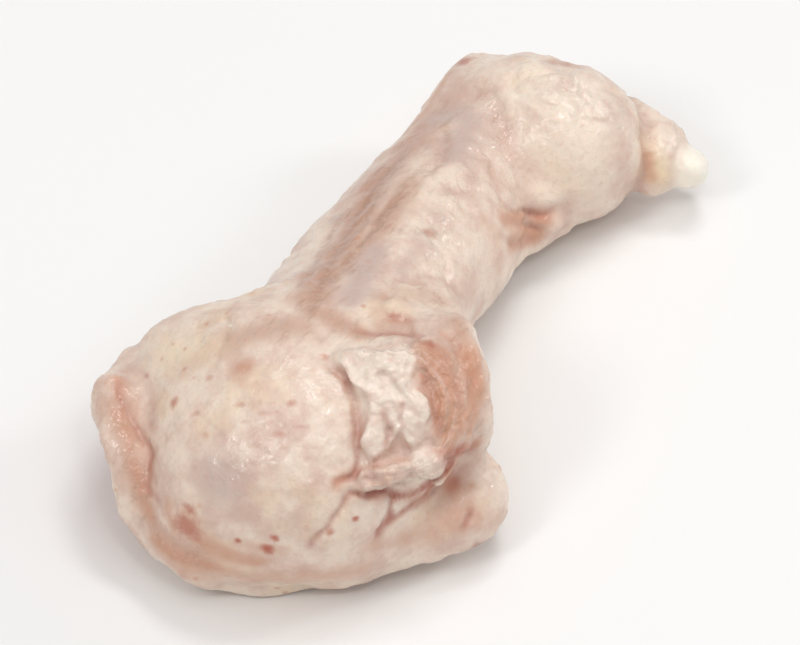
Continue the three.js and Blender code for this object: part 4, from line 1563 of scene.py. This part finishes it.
# %% Layers of colour
pore_cells = add_node(tree, "ShaderNodeTexVoronoi", {
    "Vector": place, "Scale": 1 / (RELIEF_SIZES["Pore spacing"] * MM), "Randomness": PORE_RANDOMNESS,
}).outputs["Distance"]
curds = add_node(tree, "ShaderNodeTexNoise", {
    "Vector": place, "W": RELIEF_SIZES["Seed"],
    "Scale": 1 / (RELIEF_SIZES["Curd spacing"] * MM), "Detail": 1.0,
}, noise_dimensions="4D").outputs[0]
patches = times(tree, ranged(tree, noise(110.0, 4.0), 0.5, 0.7, 0.0, 0.4),
                plus(tree, 0.2, skin_mask("pored")))
arcs = times(tree, ranged(tree, arc_cloud, 0.45, 0.65, 0.0, 0.6), skin_mask("arced"))
folds = times(tree, skin_mask("brown"), ranged(tree, noise(900.0, 4.0), 0.3, 0.6))
streaks = times(tree, ranged(tree, noise(900.0, 3.0, streak_place), 0.52, 0.72),
                plus(tree, 0.04, times(tree, skin_mask("dusk"), 0.6)))
speckle = times(tree, ranged(tree, noise(1500.0, 4.0), 0.5, 0.75), 0.45)
pore_tint = times(tree, ranged(tree, pore_cells, 0.05, 0.3, 1.0, 0.0), skin_mask("pored"),
                  ranged(tree, noise(220.0), 0.5, 0.65), 0.9)
curd_gaps = times(tree, ranged(tree, curds, 0.36, 0.52, 0.5, 0.0), skin_mask("fat"))
fibres = ranged(tree, noise(900.0, 4.0), 0.35, 0.7)
# Red and painted shade in the creases, broken up by noise
blush_and_shade_share = times(tree, skin_mask("blush_and_shade"), ranged(tree, noise(700.0, 4.0), 0.2, 0.5, 0.5, 0.95))

layers = [
    (PINK, ranged(tree, noise(180.0, 7.0), 0.36, 0.68)),
    (YELLOW, patches),
    # Dusky tone on the neck, and painted shade on the rolled edge
    (DUSK, broken(skin_mask("dusk"), 350.0, 0.4)),
    (MAUVE, broken(skin_mask("thin"), 350.0, 0.4)),
    # Cream, and painted light on the knob and the elbow
    (IVORY_AND_LIGHT, broken(skin_mask("cream_and_light"), 250.0, 0.4)),
    # Yellow tone, partly painted light under the knob
    (YELLOW, broken(skin_mask("yellow"), 250.0)),
    # Tan tone, and painted shade along the rolled edge and beside the lip, painted reflected light on
    # the neck's edge
    (TAN, broken(skin_mask("tan"), 260.0, 0.8)),
    (PINK, arcs),
    (BROWN, folds),
    (BROWN, streaks),
    (PINK, speckle),
    (TAN, pore_tint),
    # Fat, and painted highlights where this mask was stroked on shiny places
    (FAT_AND_HIGHLIGHT, broken(skin_mask("fat"), 900.0, 0.3)),
    (PINK, curd_gaps),
    (blend_colours(tree, MEAT, FASCIA, fibres), skin_mask("meat")),
    (GRISTLE, skin_mask("gristle")),
    # Painted shade in the clefts
    (CLEFT_SHADE, times(tree, skin_mask("cleft"), 0.8)),
    # The creases' red, partly the skin's own and partly painted shade
    (BLUSH_AND_SHADE, blush_and_shade_share),
]

SPOTS = [
    # (right, up, radius, stretch, strength)
    (-25.7, -11.2, 0.9, 1.3, 0.7),
    (-24.1, -27.0, 2.8, 1.0, 0.8),
    (-23.6, -25.2, 0.9, 1.0, 0.6),
    (-17.4, -28.9, 0.6, 1.0, 0.9),
    (-13.6, -30.0, 1.1, 1.2, 1.0),
    (-12.7, -28.6, 0.7, 1.0, 0.9),
    (-17.2, -7.0, 2.2, 1.2, 0.2),
    (-10.7, -11.2, 0.55, 1.6, 0.6),
    (-12.2, -15.1, 0.7, 1.4, 0.5),
    (-9.4, -14.2, 0.45, 2.6, 0.4),
    (-17.2, -11.4, 0.45, 2.2, 0.4),
    (-14.0, -12.5, 0.45, 2.2, 0.4),
    (-23.0, -12.6, 0.5, 2.6, 0.35),
    (-16.6, -13.6, 0.4, 2.0, 0.35),
    (-2.3, -26.0, 0.5, 1.2, 0.9),
    (-5.5, -27.8, 0.6, 1.2, 0.7),
    (14.0, -29.4, 0.8, 1.5, 0.7),
    (7.5, 10.9, 0.8, 1.6, 0.5),
    (12.0, 33.5, 1.3, 1.0, 0.8),
    (34.1, 29.1, 0.9, 1.0, 0.7),
    (-29.3, -7.8, 0.4, 1.6, 0.35),
    (-24.3, -6.9, 0.4, 1.8, 0.35),
    (-23.2, -8.0, 0.4, 1.6, 0.3),
    (-27.4, -5.6, 0.4, 1.6, 0.3),
    (-21.2, -8.0, 0.5, 1.4, 0.4),
    (-12.6, -12.4, 0.4, 2.0, 0.3),
    (-6.2, -5.3, 0.6, 1.3, 0.5),
]
spot_places = on_skin([spot[:2] for spot in SPOTS]) * MM
for middle, (_, _, radius, stretch, strength) in zip(spot_places, SPOTS):
    spot = add_node(tree, "ShaderNodeGroup", node_tree=spot_group)
    tree.links.new(place, spot.inputs["Place"])
    spot.inputs["Middle"].default_value = middle
    spot.inputs["Along"].default_value = RIGHT
    spot.inputs["Radius"].default_value = radius * MM
    spot.inputs["Stretch"].default_value = stretch
    spot.inputs["Strength"].default_value = strength
    layers.append((BRUISE, spot.outputs["Mask"]))

colour = CREAM
for over, share in layers:
    colour = blend_colours(tree, colour, over, share)
tree.links.new(colour, shader.inputs["Base Color"])
print("Layers of colour:", len(layers), "with", len(SPOTS), "spots")

# %% [markdown]
# ## Wetness and fine grain
# The shine comes from a smooth coat over a rougher skin. It is strongest where the skin is wet
# and patchy where it has dried. The finest grain is bump: crinkles smaller than the mesh can hold.
# The coat has a bump of its own, a film of uneven water that breaks the windows into glints.

# %% Wetness and fine grain
shader.inputs["Subsurface Weight"].default_value = 0.22
shader.inputs["Subsurface Radius"].default_value = (1.0, 0.45, 0.3)
shader.inputs["Subsurface Scale"].default_value = 0.5 * MM
shader.inputs["Specular IOR Level"].default_value = 0.5
shader.inputs["Coat Roughness"].default_value = 0.1
tree.links.new(ranged(tree, noise(420.0, 4.0), 0.3, 0.7, 0.38, 0.55), shader.inputs["Roughness"])
wet = skin_mask("wet")
damp = plus(tree, 0.4, times(tree, wet, 0.6))
patchy = ranged(tree, noise(300.0, 3.0), 0.3, 0.6, 0.4, 1.0)
tree.links.new(times(tree, damp, patchy), shader.inputs["Coat Weight"])

crinkled = plus(tree, 0.22, times(tree, skin_mask("wrinkled"), 0.35))
crinkle = times(tree, noise(750.0, 1.5, distortion=0.8), crinkled)
strand = times(tree, noise(1100.0, 1.5, streak_place), skin_mask("dusk"), 0.12)
grain = plus(tree, times(tree, noise(2400.0, 2.0), 0.06), plus(tree, crinkle, strand))
grain = plus(tree, grain, times(tree, arc_cloud, skin_mask("arced"), 0.5))
skin_bump = add_node(tree, "ShaderNodeBump", {
    "Height": grain, "Strength": 0.8, "Distance": 0.7 * MM,
}).outputs[0]
tree.links.new(skin_bump, shader.inputs["Normal"])
film = times(tree, noise(350.0, 2.0, distortion=0.5), plus(tree, 0.5, times(tree, wet, 0.9)))
drops = times(tree, noise(1500.0, 1.5, distortion=0.5), times(tree, wet, 0.7))
film = plus(tree, film, drops)
wet_bump = add_node(tree, "ShaderNodeBump", {
    "Height": film, "Strength": 1.0, "Distance": 0.3 * MM, "Normal": skin_bump,
}).outputs[0]
tree.links.new(wet_bump, shader.inputs["Coat Normal"])
print("Skin material:", len(tree.nodes), "nodes")

# %% [markdown]
# ## Raising the relief
# The tree is put on the mesh as a modifier, its inputs are set by their identifiers, and the
# result is taken out as a plain mesh, so that nothing is left to work out later.

# %% Raising the relief
relief_inputs = {**RELIEF_SIZES, "Skin": skin}
modifier = drumette.modifiers.new("relief", "NODES")
modifier.node_group = relief
for socket in relief.interface.items_tree:
    if socket.in_out == "INPUT" and socket.name in relief_inputs:
        modifier[socket.identifier] = relief_inputs[socket.name]
depsgraph = bpy.context.evaluated_depsgraph_get()
raised_mesh = bpy.data.meshes.new_from_object(drumette.evaluated_get(depsgraph))
drumette.modifiers.clear()
drumette.data = raised_mesh
print("Relief raised on", len(raised_mesh.vertices), "corners")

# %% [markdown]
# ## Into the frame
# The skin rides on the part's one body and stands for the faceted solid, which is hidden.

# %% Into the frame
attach(drumette, "root")
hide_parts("drumette")
